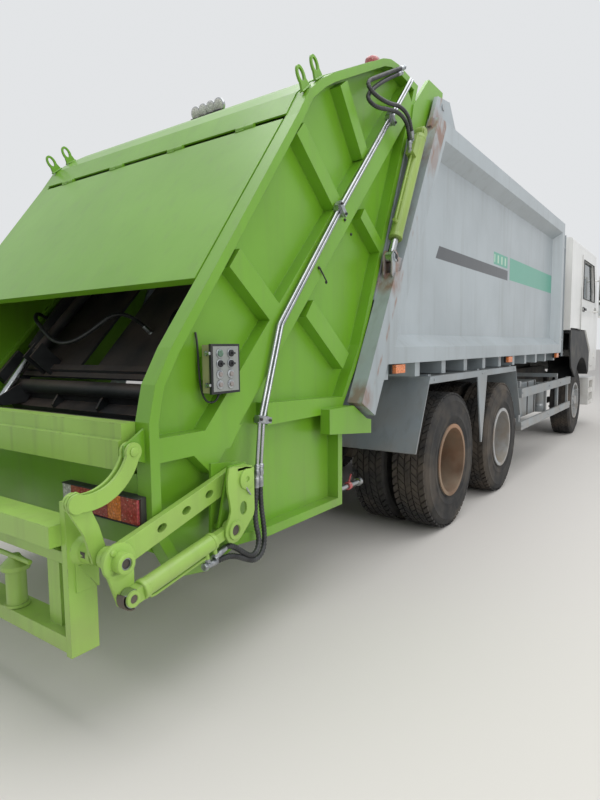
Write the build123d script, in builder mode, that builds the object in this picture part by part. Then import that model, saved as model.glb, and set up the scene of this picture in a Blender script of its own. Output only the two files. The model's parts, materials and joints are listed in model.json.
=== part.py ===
import os
from math import atan2, cos, degrees, hypot, radians, sin

from build123d import *

os.makedirs("parts", exist_ok=True)

# Rear loader garbage truck, in millimetres. Positions along the truck are measured
# forward from the rearmost axle, across it to the left from its middle, and up from the ground.

# Overall length and the axles
nose = 7175
tail = -3300
middle_axle = 1350
front_axle = 5675
origin_x = -(nose + tail) / 2

# Wheels
tyre_radius = 535
tyre_width = 290
rim_radius = 271
rim_wall = 16
flange_radius = 285
dual_inner = 745
dual_outer = 1085
single_wheel = 1011
hub_radius = 105
drum_radius = 205
stub_radius = 45
hand_hole_radius = 26
running_gap = 0.5

# Front axle and steering
kingpin_y = 850
kingpin_radius = 22
knuckle_half = 105
beam_eye_half = 70

# Chassis frame
rail_outer = 430
rail_flange = 80
rail_top = 1050
rail_height = 300
rail_wall = 9
rail_rear = -1180
rail_front = 6880
tow_pin = (7115, 560)
tow_radius = 21
tow_plate = 20
tow_height = 80

# Load body
body_half = 1245
body_wall = 10
recess_depth = 105
body_front = 3980
body_bottom = 1325
body_top = 3015
floor_top = 1335
border_low = 105
border_high = 130
border_front = 130
border_slope = 85
post_slope = 61.4
post_width = 204
post_foot = (-1492, 1115)
post_inner = body_half - 99
notch_foot = (-1072, 1885)
notch_depth = 50
sill_height = 175

# Tailgate
gate_half = body_half - 105
gate_skin = gate_half - 70
gate_wall = 10
gate_hinge = (-234, 3138)
gate_edge_low = (-1292, 1439)
gate_edge_high = (-528, 3198)
hinge_pin_radius = 25
cheek_outer = body_half - 95
cheek_wall = 28
ear_outer = body_half - 43
channel_width = 155

lift_base = (-1055, 1985)
lift_eye = (-614, 2850)
lift_y = body_half - 43
lift_radius = 42

# Hopper and packer
slide_angle = 46.8
pivot = (-2300, 1200)
trough_radius = 620
blade_length = 600
blade_angle = 300
blade_wall = 16
packer_half = gate_skin - 80
blade_half = gate_skin - 60
pivot_tube_radius = 45
pivot_pin_radius = 30
guide_offset = 65
guide_gap = 60
guide_wall = 20
guide_depth = 40
lid_hinge = (-1940, 2577)
lid_foot = (-2583, 1726)
lid_wall = 30

# Bin lifter
arm_pivot = (-2510, 883)
ram_base = (-2585, 681)
hub = (-3119, 707)
ram_eye = (-3099, 577)
link_pivot = (-2981, 1060)
link_eye = (-3216, 919)

# Cab
cab_half = 1235
cab_rear = 4620
cab_front = 7150
cab_roof = 2950
cab_header = cab_roof - 60
door_top = cab_roof - 150
window_top = cab_roof - 220
cab_wall = 45
cab_pivot = (7080, 900)
door_gap = 6
door_wall = 50
door_hinge = (6728, cab_half + 15)
door_pin_radius = 8
door_hinge_heights = (1180, 1960)


def side(y):
    """Plane seen from the right: x forward, y up; it extrudes to the right."""
    return Plane(origin=(origin_x, y, 0), x_dir=(1, 0, 0), z_dir=(0, -1, 0))


def prism(points, y_left, depth, mode=Mode.ADD):
    """Plate with a side outline, from y_left towards the right."""
    with BuildSketch(side(y_left)) as outline:
        with BuildLine():
            Polyline(*points, close=True)
        make_face()
    extrude(outline.sketch, amount=depth, mode=mode)


def pair(points, y_out, depth, mode=Mode.ADD):
    """The same plate on the left and on the right."""
    prism(points, y_out, depth, mode)
    prism(points, depth - y_out, depth, mode)


def block(x, y, z, mode=Mode.ADD):
    """Box from its low and high limits along each direction."""
    with Locations((origin_x + (x[0] + x[1]) / 2, (y[0] + y[1]) / 2, (z[0] + z[1]) / 2)):
        Box(x[1] - x[0], y[1] - y[0], z[1] - z[0], mode=mode)


def blocks(x, y, z, mode=Mode.ADD):
    """The same box on the left and on the right."""
    block(x, y, z, mode)
    block(x, (-y[1], -y[0]), z, mode)


def rod(start, end, radius, mode=Mode.ADD):
    """Round bar between two points."""
    first = Vector(start[0] + origin_x, start[1], start[2])
    last = Vector(end[0] + origin_x, end[1], end[2])
    with BuildSketch(Plane(origin=first, z_dir=last - first)) as section:
        Circle(radius)
    extrude(section.sketch, amount=(last - first).length, mode=mode)


def cross_rod(point, y_from, y_to, radius, mode=Mode.ADD):
    """Round bar across the truck."""
    rod((point[0], y_from, point[1]), (point[0], y_to, point[1]), radius, mode)


def cross_rods(point, y_in, y_out, radius, mode=Mode.ADD):
    """The same bar on the left and on the right."""
    cross_rod(point, y_in, y_out, radius, mode)
    cross_rod(point, -y_in, -y_out, radius, mode)


def turned(profile, x, hand):
    """Ring about a wheel's axis, from (distance from the truck's middle, radius) points."""
    plane = Plane(origin=(origin_x + x, 0, tyre_radius), x_dir=(0, hand, 0), z_dir=(hand, 0, 0))
    with BuildSketch(plane) as section:
        with BuildLine():
            Polyline(*profile, close=True)
        make_face()
    revolve(section.sketch, axis=Axis(plane.origin, (0, 1, 0)))


def along(base, angle, distance, offset=0):
    """Point at a distance along a direction and an offset to its left."""
    turn = radians(angle)
    return (base[0] + distance * cos(turn) - offset * sin(turn),
            base[1] + distance * sin(turn) + offset * cos(turn))


def slab(base, angle, start, end, low, high):
    """Four corners of a bar that runs along a direction, low and high being offsets."""
    return [along(base, angle, start, low), along(base, angle, end, low),
            along(base, angle, end, high), along(base, angle, start, high)]


def strip(first, last, width):
    """Four corners of a bar between two points, with its width to the left."""
    angle = degrees(atan2(last[1] - first[1], last[0] - first[0]))
    return slab(first, angle, 0, hypot(last[0] - first[0], last[1] - first[1]), 0, width)


def place(point, y):
    return (point[0], y, point[1])


def finish(part, name, colour):
    part.label = name
    part.color = Color(colour)
    export_step(part, "parts/" + name + ".step")


# Tyres and rims

def tyre_ring(centre):
    half = tyre_width / 2
    bead = rim_radius + 0.4
    shoulder = tyre_radius - 30
    rows = [(-0.86, bead), (-1, bead + 60), (-1, bead + 170), (-0.93, shoulder), (-0.8, tyre_radius),
            (0.8, tyre_radius), (0.93, shoulder), (1, bead + 170), (1, bead + 60), (0.86, bead)]
    return [(centre + share * half, radius) for share, radius in rows]


def rim_ring(centre):
    half = tyre_width / 2
    low = rim_radius - rim_wall
    return [(centre - half, low), (centre + half, low), (centre + half, flange_radius),
            (centre + 0.91 * half, flange_radius), (centre + 0.86 * half, rim_radius),
            (centre - 0.86 * half, rim_radius), (centre - 0.91 * half, flange_radius),
            (centre - half, flange_radius)]


def disc_ring(face, towards):
    """Dished disc from its bolting face to the rim; towards is +1 outwards or -1 inwards."""
    rows = [(0, hub_radius - 20), (20, hub_radius - 20), (20, 185), (75, rim_radius - 12),
            (50, rim_radius - 8), (0, 195)]
    return [(face + towards * step, radius) for step, radius in rows]


def bore(x, hand, start, end):
    cross_rod((x, tyre_radius), hand * start, hand * end, stub_radius + running_gap, Mode.SUBTRACT)


def hand_holes(x, hand, face, depth):
    plane = Plane(origin=(origin_x + x, hand * face, tyre_radius), x_dir=(1, 0, 0), z_dir=(0, hand, 0))
    with BuildSketch(plane) as holes:
        with PolarLocations(212, 8):
            Circle(hand_hole_radius)
    extrude(holes.sketch, amount=depth, both=True, mode=Mode.SUBTRACT)


dual_face = (dual_inner + dual_outer) / 2
for axle_name, axle_x in (("rear", 0), ("middle", middle_axle)):
    for side_name, hand in (("left", 1), ("right", -1)):
        with BuildPart() as dual_tyres:
            turned(tyre_ring(dual_inner), axle_x, hand)
            turned(tyre_ring(dual_outer), axle_x, hand)
        finish(dual_tyres.part, "tyres_" + axle_name + "_" + side_name, 0x1E1E1E)

        with BuildPart() as dual_rim:
            turned(rim_ring(dual_inner), axle_x, hand)
            turned(rim_ring(dual_outer), axle_x, hand)
            turned(disc_ring(dual_face, 1), axle_x, hand)
            turned(disc_ring(dual_face, -1), axle_x, hand)
            hand_holes(axle_x, hand, dual_face, 100)
            turned([(640, 0), (640, drum_radius), (900, drum_radius), (900, hub_radius), (1020, hub_radius),
                    (1020, 82), (1075, 74), (1075, 0)], axle_x, hand)
            bore(axle_x, hand, 600, 1000)
        finish(dual_rim.part, "rims_" + axle_name + "_" + side_name, 0xA8ACB0)

for side_name, hand in (("left", 1), ("right", -1)):
    with BuildPart() as front_tyre:
        turned(tyre_ring(single_wheel), front_axle, hand)
    finish(front_tyre.part, "tyre_front_" + side_name, 0x1E1E1E)

    with BuildPart() as front_rim:
        turned(rim_ring(single_wheel), front_axle, hand)
        turned(disc_ring(single_wheel + 105, -1), front_axle, hand)
        hand_holes(front_axle, hand, single_wheel + 80, 60)
        turned([(930, 0), (930, drum_radius), (1080, drum_radius), (1080, hub_radius), (1130, hub_radius),
                (1130, 80), (1160, 72), (1160, 0)], front_axle, hand)
        bore(front_axle, hand, 900, 1110)
    finish(front_rim.part, "rim_front_" + side_name, 0xA8ACB0)

    with BuildPart() as knuckle:
        plane = Plane(origin=(origin_x + front_axle, hand * kingpin_y, tyre_radius - knuckle_half))
        with BuildSketch(plane) as lug:
            Circle(52)
        extrude(lug.sketch, amount=2 * knuckle_half)
        with BuildSketch(plane.offset(knuckle_half - beam_eye_half - 6)) as gap:
            Circle(60)
        extrude(gap.sketch, amount=2 * beam_eye_half + 12, mode=Mode.SUBTRACT)
        block((front_axle - 50, front_axle + 50), sorted((hand * (kingpin_y + 62), hand * 915)),
              (tyre_radius - knuckle_half, tyre_radius + knuckle_half))
        for low in (tyre_radius - knuckle_half, tyre_radius + beam_eye_half + 6):
            block((front_axle - 50, front_axle + 50), sorted((hand * kingpin_y, hand * 915)),
                  (low, low + knuckle_half - beam_eye_half - 6))
        with BuildSketch(plane) as pin:
            Circle(kingpin_radius)
        extrude(pin.sketch, amount=2 * knuckle_half)
        cross_rod((front_axle, tyre_radius), hand * 900, hand * 1105, stub_radius)
        block((front_axle - 250, front_axle - 20), sorted((hand * 810, hand * 860)),
              (tyre_radius - knuckle_half, tyre_radius - knuckle_half + 25))
    finish(knuckle.part, "knuckle_" + side_name, 0x3A3D40)

# Axles and their springs
with BuildPart() as front_beam:
    block((front_axle - 45, front_axle + 45), (-700, 700), (tyre_radius - 95, tyre_radius - 5))
    for hand in (1, -1):
        rod((front_axle, hand * 640, tyre_radius - 50), (front_axle, hand * 800, tyre_radius), 44)
        plane = Plane(origin=(origin_x + front_axle, hand * kingpin_y, tyre_radius - beam_eye_half))
        with BuildSketch(plane) as eye:
            Circle(50)
        extrude(eye.sketch, amount=2 * beam_eye_half)
        block((front_axle - 44, front_axle + 44), sorted((hand * 740, hand * kingpin_y)),
              (tyre_radius - 40, tyre_radius + 40))
        with BuildSketch(plane) as eye_bore:
            Circle(kingpin_radius + running_gap)
        extrude(eye_bore.sketch, amount=2 * beam_eye_half, mode=Mode.SUBTRACT)
        prism([(front_axle - 800, 730), (front_axle - 300, 605), (front_axle + 300, 605),
               (front_axle + 800, 730), (front_axle + 800, 749.7), (front_axle + 300, 640),
               (front_axle + 120, 665), (front_axle - 120, 665), (front_axle - 300, 640),
               (front_axle - 800, 749.7)], hand * 390 + 40, 80)
        block((front_axle - 80, front_axle + 80), (hand * 390 - 60, hand * 390 + 60), (tyre_radius - 30, 640))
finish(front_beam.part, "front_axle", 0x3A3D40)

with BuildPart() as rear_beams:
    for axle_x in (0, middle_axle):
        cross_rod((axle_x, tyre_radius), -635, 635, 75)
        cross_rod((axle_x, tyre_radius), -995, 995, stub_radius)
        cross_rod((axle_x, tyre_radius), -130, 130, 215)
    rod((4044, 0, 820), (middle_axle + 100, 0, 610), 50)
    rod((middle_axle - 100, 0, 600), (100, 0, 600), 45)
    for hand in (1, -1):
        prism([(-90, 600), (90, 600), (middle_axle / 2, 760), (middle_axle - 90, 600),
               (middle_axle + 90, 600), (middle_axle + 90, 640), (middle_axle / 2 + 160, 830),
               (middle_axle / 2 - 160, 830), (-90, 640)], hand * 515 + 40, 80)
        block((middle_axle / 2 - 150, middle_axle / 2 + 150), sorted((hand * (rail_outer + 0.4), hand * 555)), (760, 900))
finish(rear_beams.part, "rear_axles", 0x3A3D40)

# Chassis frame: two channels and their crossmembers
with BuildPart() as frame:
    for hand in (1, -1):
        block((rail_rear, rail_front), sorted((hand * (rail_outer - rail_wall), hand * rail_outer)),
              (rail_top - rail_height, rail_top))
        for low in (rail_top - rail_height, rail_top - rail_wall):
            block((rail_rear, rail_front), sorted((hand * (rail_outer - rail_flange), hand * rail_outer)),
                  (low, low + rail_wall))
    cross_end = rail_wall + 0.3 - rail_outer
    for x in (-1100, 675, 2300, 3600, 6600):
        block((x - 60, x + 60), (cross_end, -cross_end), (rail_top - 160, rail_top - rail_wall - 0.3))
    for hand in (1, -1):
        block((6780, rail_front + 60), sorted((hand * (rail_outer - 90), hand * (rail_outer + 60))), (760, 880))
        cross_rod(cab_pivot, hand * (rail_outer - 60), hand * (rail_outer + 130), 22)
        prism([(6780, 760), (7040, 760), (7045, 866), (7112, 866), (7110, 925), (7060, 940), (6900, 880), (6780, 880)],
              hand * (rail_outer - 35) + 15, 30)
    block((rail_front - 80, rail_front), (-rail_outer, rail_outer), (tow_pin[1] + tow_height, rail_top - rail_height + 1))
    block((rail_front - 80, tow_pin[0] - 65), (-60, 60), (tow_pin[1], tow_pin[1] + tow_height + 1))
    for low in (tow_pin[1], tow_pin[1] + tow_height - tow_plate):
        block((tow_pin[0] - 66, tow_pin[0] + 35), (-60, 60), (low, low + tow_plate))
    rod((tow_pin[0], 0, tow_pin[1] - 1), (tow_pin[0], 0, tow_pin[1] + tow_height + 1), tow_radius, Mode.SUBTRACT)
finish(frame.part, "chassis_frame", 0x2C3033)

# Engine and gearbox as plain blocks
with BuildPart() as engine:
    block((4750, 6250), (-320, 320), (700, 1540))
    block((4050, 4749.6), (-200, 200), (690, 1080))
    blocks((5900, 6050), (319, rail_outer - rail_wall - 0.4), (800, 900))
finish(engine.part, "engine_block", 0x4A4E52)

# Tanks along the frame
with BuildPart() as tanks:
    with BuildSketch(Plane(origin=(origin_x + 2250, 860, 800), x_dir=(0, 1, 0), z_dir=(1, 0, 0))) as tank:
        RectangleRounded(560, 560, 90)
    extrude(tank.sketch, amount=1250)
    for x in (2450, 3250):
        block((x, x + 60), (rail_outer + 0.4, 600), (640, 1040))
    for y in (-680, -870, -1060):
        rod((3560, y, 560), (3560, y, 900), 82)
    block((3460, 3660), (-1140, -rail_outer - 0.4), (900, 940))
    block((2350, 3150), (-1120, -560), (600, 1000))
    block((2450, 3050), (-570, -rail_outer - 0.4), (760, 860))
finish(tanks.part, "side_tanks", 0x5A6064)

# Rear fenders, one each side, over both axles
fender_top = [(-484, 1175), (1730, 1175), (1730, 1225), (-484, 1225)]
with BuildPart() as fenders:
    for hand in (1, -1):
        y_out = 1240 if hand > 0 else -560
        prism([(-500, 1205), (1750, 1205), (1750, 1217), (-500, 1217)], y_out, 680)
        prism([(-488, 1217), (-500, 1205), (-740, 700), (-728, 694)], y_out, 680)
        prism([(1738, 1217), (1750, 1205), (1986, 690), (1974, 684)], y_out, 680)
        skirt = 1240 if hand > 0 else -1228
        prism([(-520, 1165), (1770, 1165), (1750, 1217), (-495, 1217)], skirt, 12)
        prism([(middle_axle / 2 - 130, 1165), (middle_axle / 2 + 130, 1165), (middle_axle / 2 + 12, 582),
               (middle_axle / 2 - 12, 582)], skirt, 12)
        for x in (-420, 675, 1680):
            block((x - 25, x + 25), sorted((hand * (rail_outer + 0.4), hand * 1200)), (1217, 1229))
            block((x - 25, x + 25), sorted((hand * (rail_outer + 0.4), hand * 480)), (950, 1229))
finish(fenders.part, "rear_fenders", 0x7C8488)

# Side guards: two rails on posts, hung from the frame
with BuildPart() as guards:
    for hand in (1, -1):
        outer = sorted((hand * 1212, hand * 1240))
        behind = sorted((hand * 1184, hand * 1211.7))
        for low, high in ((865, 965), (512, 602)):
            block((2020, 4750), outer, (low, high))
        for x in (2020, 3310, 4010, 4700):
            block((x, x + 50), behind, (512, 965))
        for x in (2150, 4080):
            block((x, x + 60), sorted((hand * (rail_outer + 0.4), hand * 1159.7)), (985, 1035))
            block((x, x + 60), sorted((hand * 1160, hand * 1183.7)), (512, 1035))
            for low, high in ((880, 950), (522, 592)):
                block((x, x + 60), sorted((hand * 1183, hand * 1211.7)), (low, high))
finish(guards.part, "side_guards", 0x7C8488)

# Front bumper with the steps behind its corners
bumper_side = [(6390, 400), (6960, 400), (7120, 560), (nose, 650), (nose, 860), (6390, 860)]
with BuildPart() as bumper:
    block((7060, nose), (-cab_half, cab_half), (650, 860))
    for y_out in (cab_half, -950):
        prism(bumper_side, y_out, cab_half - 950)
    for low in (470, 680):
        for hand in (1, -1):
            block((6450, 6850), sorted((hand * 1050, hand * (cab_half + 1))), (low, low + 130), Mode.SUBTRACT)
    for hand in (1, -1):
        block((nose - 40, nose + 1), sorted((hand * 820, hand * 1160)), (690, 820), Mode.SUBTRACT)
        block((6900, 7061), sorted((hand * (rail_outer - 60), hand * (rail_outer + 30))), (690, 759.7))
finish(bumper.part, "front_bumper", 0xE8E8E6)

# Lamps of the chassis and the body
with BuildPart() as lamps:
    for hand in (1, -1):
        block((nose - 39.7, nose), sorted((hand * 822, hand * 1158)), (692, 818))
        for x in (-985, 1540, 3776):
            block((x - 75, x + 75), sorted((hand * (body_half - 50), hand * (body_half - 2))), (1258, body_bottom - 0.3))
finish(lamps.part, "lamps", 0xE07820)

# Load body: floor with its sills, front wall, sides, roof and rear frame


def gate_line(z):
    """Place along the truck of the tailgate's front edge at a height."""
    share = (z - gate_edge_low[1]) / (gate_edge_high[1] - gate_edge_low[1])
    return gate_edge_low[0] + share * (gate_edge_high[0] - gate_edge_low[0])


def rear_line(z, shift=0):
    """Place along the truck of the post's rear face at a height."""
    return post_foot[0] + (z - post_foot[1]) / (sin(radians(post_slope)) / cos(radians(post_slope))) + shift


body_inner = body_half - recess_depth - body_wall
with BuildPart() as floor:
    block((-1180, body_front - 12), (-body_inner + 0.3, body_inner - 0.3), (body_bottom, floor_top))
    for hand in (1, -1):
        block((-1150, 3960), sorted((hand * (rail_outer - rail_flange), hand * rail_outer)),
              (rail_top + 0.3, rail_top + sill_height))
    for k in range(11):
        x = -1100 + 490 * k
        block((x - 40, x + 40), (55 - body_half, body_half - 55), (rail_top + sill_height, body_bottom - 0.3))
        block((x - 40, x + 40), (-1000, 1000), (body_bottom - 1, body_bottom))
finish(floor.part, "body_floor", 0x8A9296)

ear = [(-450, body_top - 65), (-327, gate_hinge[1] + 46), (-103, gate_hinge[1] + 76), (60, body_top + 0.3),
       (-253, body_top + 0.3), (-292, body_top - 65)]
cheek_slot = [(-560, body_top - 120), (-10, body_top - 120), (-10, body_top + 85), (-560, body_top + 85)]
panel_rear_low = rear_line(body_bottom, post_width)
panel_rear_high = rear_line(body_top, post_width)
with BuildPart() as body_sides:
    outline = [(panel_rear_low, body_bottom), (body_front, body_bottom), (body_front, body_top),
               (panel_rear_high, body_top)]
    pair(outline, body_half, recess_depth + body_wall)
    for hand in (1, -1):
        with BuildSketch(side(hand * (body_half + 0.1))) as mouth:
            with BuildLine():
                Polyline((rear_line(body_bottom + border_low, post_width + 40), body_bottom + border_low),
                         (body_front - border_front, body_bottom + border_low),
                         (body_front - border_front, body_top - border_high),
                         (rear_line(body_top - border_high, post_width + 40), body_top - border_high), close=True)
            make_face()
        with BuildSketch(side(hand * (body_half - recess_depth))) as bed:
            with BuildLine():
                Polyline((rear_line(body_bottom + border_low + border_slope, post_width + 140),
                          body_bottom + border_low + border_slope),
                         (body_front - border_front - border_slope, body_bottom + border_low + border_slope),
                         (body_front - border_front - border_slope, body_top - border_high - border_slope),
                         (rear_line(body_top - border_high - border_slope, post_width + 140),
                          body_top - border_high - border_slope), close=True)
            make_face()
        loft(sections=[mouth.sketch.faces()[0], bed.sketch.faces()[0]], mode=Mode.SUBTRACT)
    pair(cheek_slot, cheek_outer + 7, cheek_wall + 14, Mode.SUBTRACT)
finish(body_sides.part, "body_sides", 0xB4BCC0)

with BuildPart() as roof:
    block((body_front - 12, body_front), (-body_inner + 0.3, body_inner - 0.3), (floor_top + 0.3, body_top - 5))
    for y in (-700, 0, 700):
        block((body_front, body_front + 60), (y - 40, y + 40), (floor_top + 0.3, body_top - 40))
    block((rear_line(body_top, post_width), body_front), (-body_inner + 0.3, body_inner - 0.3), (body_top - 15, body_top - 5))
    for k in range(6):
        x = 300 + 690 * k
        block((x - 30, x + 30), (-body_inner + 0.3, body_inner - 0.3), (body_top - 45, body_top - 15))
finish(roof.part, "body_roof_front", 0xB4BCC0)

with BuildPart() as rear_frame:
    post = [post_foot, along(post_foot, post_slope, 0, -post_width * sin(radians(post_slope))),
            (rear_line(body_top, post_width - 0.3), body_top), (rear_line(body_top), body_top)]
    pair(post, body_half, body_half - post_inner)
    # The post steps forward above the rams' lugs
    notch = hypot(notch_foot[0] - post_foot[0], notch_foot[1] - post_foot[1])
    pair([along(post_foot, post_slope, notch, 1), along(post_foot, post_slope, notch + 45, -notch_depth),
          along(post_foot, post_slope, 2300, -notch_depth), along(post_foot, post_slope, 2300, 1)],
         body_half + 1, body_half - post_inner + 2, Mode.SUBTRACT)
    inner_low, inner_high = 1720, body_top - 210
    inner = [(rear_line(inner_low) + 5, inner_low), (rear_line(inner_high) + 5, inner_high),
             (gate_line(inner_high) + 9, inner_high), (gate_line(inner_low) + 9, inner_low)]
    pair(inner, post_inner, 90)
    block((rear_line(body_top - 115), rear_line(body_top - 115, 180)), (-body_inner + 0.3, body_inner - 0.3),
          (body_top - 175, body_top - 5))
    blocks((rear_line(body_top - 175) + 6, rear_line(body_top - 175, 180)), (body_inner - 1, post_inner + 1),
           (body_top - 175, body_top - 135))
    block((-1290, -1182), (-post_inner, post_inner), (1215, floor_top - 5))
    pair(cheek_slot, cheek_outer + 7, cheek_wall + 14, Mode.SUBTRACT)
    for y_out in (ear_outer, -ear_outer + 30):
        prism(ear, y_out, 30)
    cross_rods(gate_hinge, cheek_outer - cheek_wall - 20, ear_outer + 8, hinge_pin_radius)
    lug = [along(lift_base, post_slope, distance, offset)
           for distance, offset in ((-160, -108), (-118, -10), (-20, 40), (22, 38), (42, 10), (20, -30), (60, -108))]
    for y_out in (lift_y + 32, lift_y - 24):
        pair(lug, y_out, 8)
    cross_rods(lift_base, lift_y - 38, lift_y + 38, 20)
    cross_rods(lift_base, lift_y + 32, lift_y + 38, 30)
finish(rear_frame.part, "rear_frame", 0xA8B0B4)

# Ladder on the front wall's right corner
with BuildPart() as ladder:
    for y in (-1190, -830):
        rod((4290, y, 1270), (4290, y, body_top - 95), 16)
    for z in (1548, 1831, 2142, 2432, 2713):
        cross_rod((4290, z), -1190, -830, 13)
    for y in (-1190, -830):
        for z in (1500, 2750):
            rod((body_front + 0.4, y, z), (4290, y, z), 13)
finish(ladder.part, "ladder", 0x9AA2A6)

# Tailgate sides: skin, flange round the edge, diagonal channel and ribs
gate_outline = [(-1540, 527), (-1537, 1092), gate_edge_low, gate_edge_high, (-827, 3222), (-936, 3214),
                (-1039, 3180), (-1611, 2885), (-1723, 2816), (-1838, 2724), lid_hinge, lid_foot,
                (-2800, 1440), (-2885, 1300), (-2920, 1160), (-2920, 745), (-2797, 526), (-2638, 497),
                (-2453, 553), (-2218, 530)]
gate_inset = [(-1585, 572), (-1582, 1078), (-1334, 1446), (-594, 3150), (-816, 3178), (-930, 3169),
              (-1022, 3140), (-1590, 2846), (-1697, 2780), (-1805, 2693), (-1904, 2550), (-2547, 1699),
              (-2762, 1416), (-2842, 1285), (-2873, 1150), (-2873, 755), (-2767, 570), (-2640, 545),
              (-2456, 598), (-2214, 575)]
rib_depth = gate_half - gate_skin
# Each rib: start on one edge, end on the same edge, width to the left of that direction
ribs = [((-1230, 2574), (-1472, 2896), 90), ((-1537, 2238), (-1891, 2547), 95),
        ((-2091, 1626), (-2390, 1867), 110), ((-1042, 2080), (-1276, 2246), 78),
        ((-1461, 1396), (-1822, 1679), 110)]
with BuildPart() as gate_sides:
    pair(gate_outline, gate_skin, gate_wall)
    for y_out in (gate_half, rib_depth - gate_half):
        prism(gate_outline, y_out, rib_depth)
        prism(gate_inset, y_out, rib_depth, Mode.SUBTRACT)
    pair(strip((-2596, 905), (-600, 3030), channel_width), gate_half, rib_depth)
    for first, last, width in ribs:
        pair(strip(first, last, width), gate_half, rib_depth)
    pair([(-2874, 1000), (-2480, 1000), (-2400, 1096), (-2874, 1096)], gate_half, rib_depth)
    pair([(-2217, 1068), (-1540, 1068), (-1540, 1110), (-1500, 1150), (-2217, 1175)], gate_half, rib_depth)
    for low, high in ((guide_offset + guide_gap, guide_offset + guide_gap + guide_wall),
                      (guide_offset - guide_gap - guide_wall, guide_offset - guide_gap)):
        pair(slab(pivot, slide_angle, -110, 2130, low, high), gate_skin - gate_wall, guide_depth)
    pair([(-1291, 916), (-1291, 999), (-1345, 1010), (-1500, 1100), (-1756, 1100), (-1756, 966)], gate_half + 55, 60)
    pair([(-619, 3044), (-367, 3294), (-109, 3292), (-150, 3050), (-270, 3022), (-339, 2927), (-585, 2919)],
         cheek_outer, cheek_outer - gate_skin)
    pair([(-619, 3044), (-665, 2860), (-640, 2812), (-590, 2812), (-568, 2850), (-530, 2925)], cheek_outer, cheek_wall)
    pair([(-2900, 1150), (-2985, 1100), (-3012, 1085), (-3012, 1040), (-2985, 1030), (-2900, 1000)], 1111, 12)
    cross_rods(link_pivot, 1098, 1112, 16 + running_gap, Mode.SUBTRACT)
    for y_out in (1152, -1140):
        prism([(-2447, 938), (-2453, 695), (-2560, 640), (-2625, 660), (-2614, 955)], y_out, 12)
    for y_out in (1202, -1190):
        prism([(-2447, 938), (-2453, 850), (-2540, 650), (-2600, 640), (-2630, 690), (-2560, 940)], y_out, 12)
    cross_rods(arm_pivot, 1150, 1200, 25)
    cross_rods(ram_base, 1150, 1246, 20)
    cross_rods(gate_hinge, cheek_outer - cheek_wall - 100, cheek_outer + 10, hinge_pin_radius + running_gap, Mode.SUBTRACT)
    pair([(-560, 2880), (-90, 2880), (-90, 3300), (-560, 3300)], cheek_outer - cheek_wall, 90, Mode.SUBTRACT)
finish(gate_sides.part, "tailgate_sides", 0x78A838)

# Tailgate top skin, and the cross tube that holds the packing rams
top_line = [(-560, 3200), (-827, 3222), (-936, 3214), (-1039, 3180), (-1611, 2885), (-1723, 2816),
            (-1838, 2724), along(lid_hinge, 55, 18)]
skin_half = gate_skin - gate_wall - 0.3
with BuildPart() as gate_top:
    with BuildSketch(side(skin_half)) as skin:
        with BuildLine():
            Polyline(*top_line)
        trace(line_width=10)
    extrude(skin.sketch, amount=2 * skin_half)
    cross_rod(along(pivot, slide_angle, 2190, 150), -skin_half, skin_half, 45)
    for y in (-680, 680):
        rod(place(along(pivot, slide_angle, 1180, 150), y), place(along(pivot, slide_angle, 2160, 150), y), 56)
        rod(place(along(pivot, slide_angle, 1170, 150), y), place(along(pivot, slide_angle, 2120, 150), y),
            32 + running_gap, Mode.SUBTRACT)
    block((-660, -560), (-skin_half, skin_half), (3130, 3196))
    for y in (-800, -270, 270, 800):
        cross_rod(lid_hinge, y - 60, y - 1, 15)
        prism(strip(along(lid_hinge, 55, 6), along(lid_hinge, 55, 22), 8), y - 1, 59)
        cross_rod(lid_hinge, y - 60, y + 60, 7)
finish(gate_top.part, "tailgate_top", 0x8CBC48)

lid_angle = degrees(atan2(lid_foot[1] - lid_hinge[1], lid_foot[0] - lid_hinge[0]))
lid_length = hypot(lid_foot[0] - lid_hinge[0], lid_foot[1] - lid_hinge[1])
with BuildPart() as lid:
    prism(slab(lid_hinge, lid_angle, 18, lid_length, -4, 2), skin_half - 5, 2 * skin_half - 10)
    for start, end in ((18, 38), (lid_length / 2 - 10, lid_length / 2 + 10), (lid_length - 8, lid_length)):
        prism(slab(lid_hinge, lid_angle, start, end, 2, lid_wall), skin_half - 5, 2 * skin_half - 10)
    for y in (skin_half - 5, -skin_half + 13, 4):
        prism(slab(lid_hinge, lid_angle, 18, lid_length, 2, lid_wall), y, 8)
    for y in (-800, -270, 270, 800):
        cross_rod(lid_hinge, y + 1, y + 60, 15)
        prism(slab(lid_hinge, lid_angle, 0, 20, -8, 0), y + 60, 59)
        cross_rod(lid_hinge, y - 70, y + 70, 7 + running_gap, Mode.SUBTRACT)
finish(lid.part, "tailgate_lid", 0x9CC860)

# Hopper: trough, slope to the body, and the loading lip
arc_start = along(pivot, 196, trough_radius)
arc_end = along(pivot, slide_angle - 90, trough_radius)
with BuildPart() as hopper:
    with BuildSketch(side(skin_half)) as trough:
        with BuildLine():
            Polyline((-2905, 1150), arc_start)
            ThreePointArc(arc_start, along(pivot, 256, trough_radius), arc_end)
            Line(arc_end, (-1566, 1075))
        trace(line_width=12)
    extrude(trough.sketch, amount=2 * skin_half)
    prism([(-2900, 1160), (-2985, 1160), (-2985, 1100), (-3000, 1096), (-3000, 985), (-2985, 985),
           (-2950, 1060), (-2900, 1060)], skin_half, 2 * skin_half)
    prism([(-1600, 1000), (-1545, 1000), (-1545, 1085), (-1575, 1085)], skin_half, 2 * skin_half)
    for y_out in (1035, -740):
        prism([(-2910.7, 870), (-2825, 870), (-2865, 945), (-2910.7, 945)], y_out, 295)
finish(hopper.part, "hopper", 0x86B646)

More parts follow.
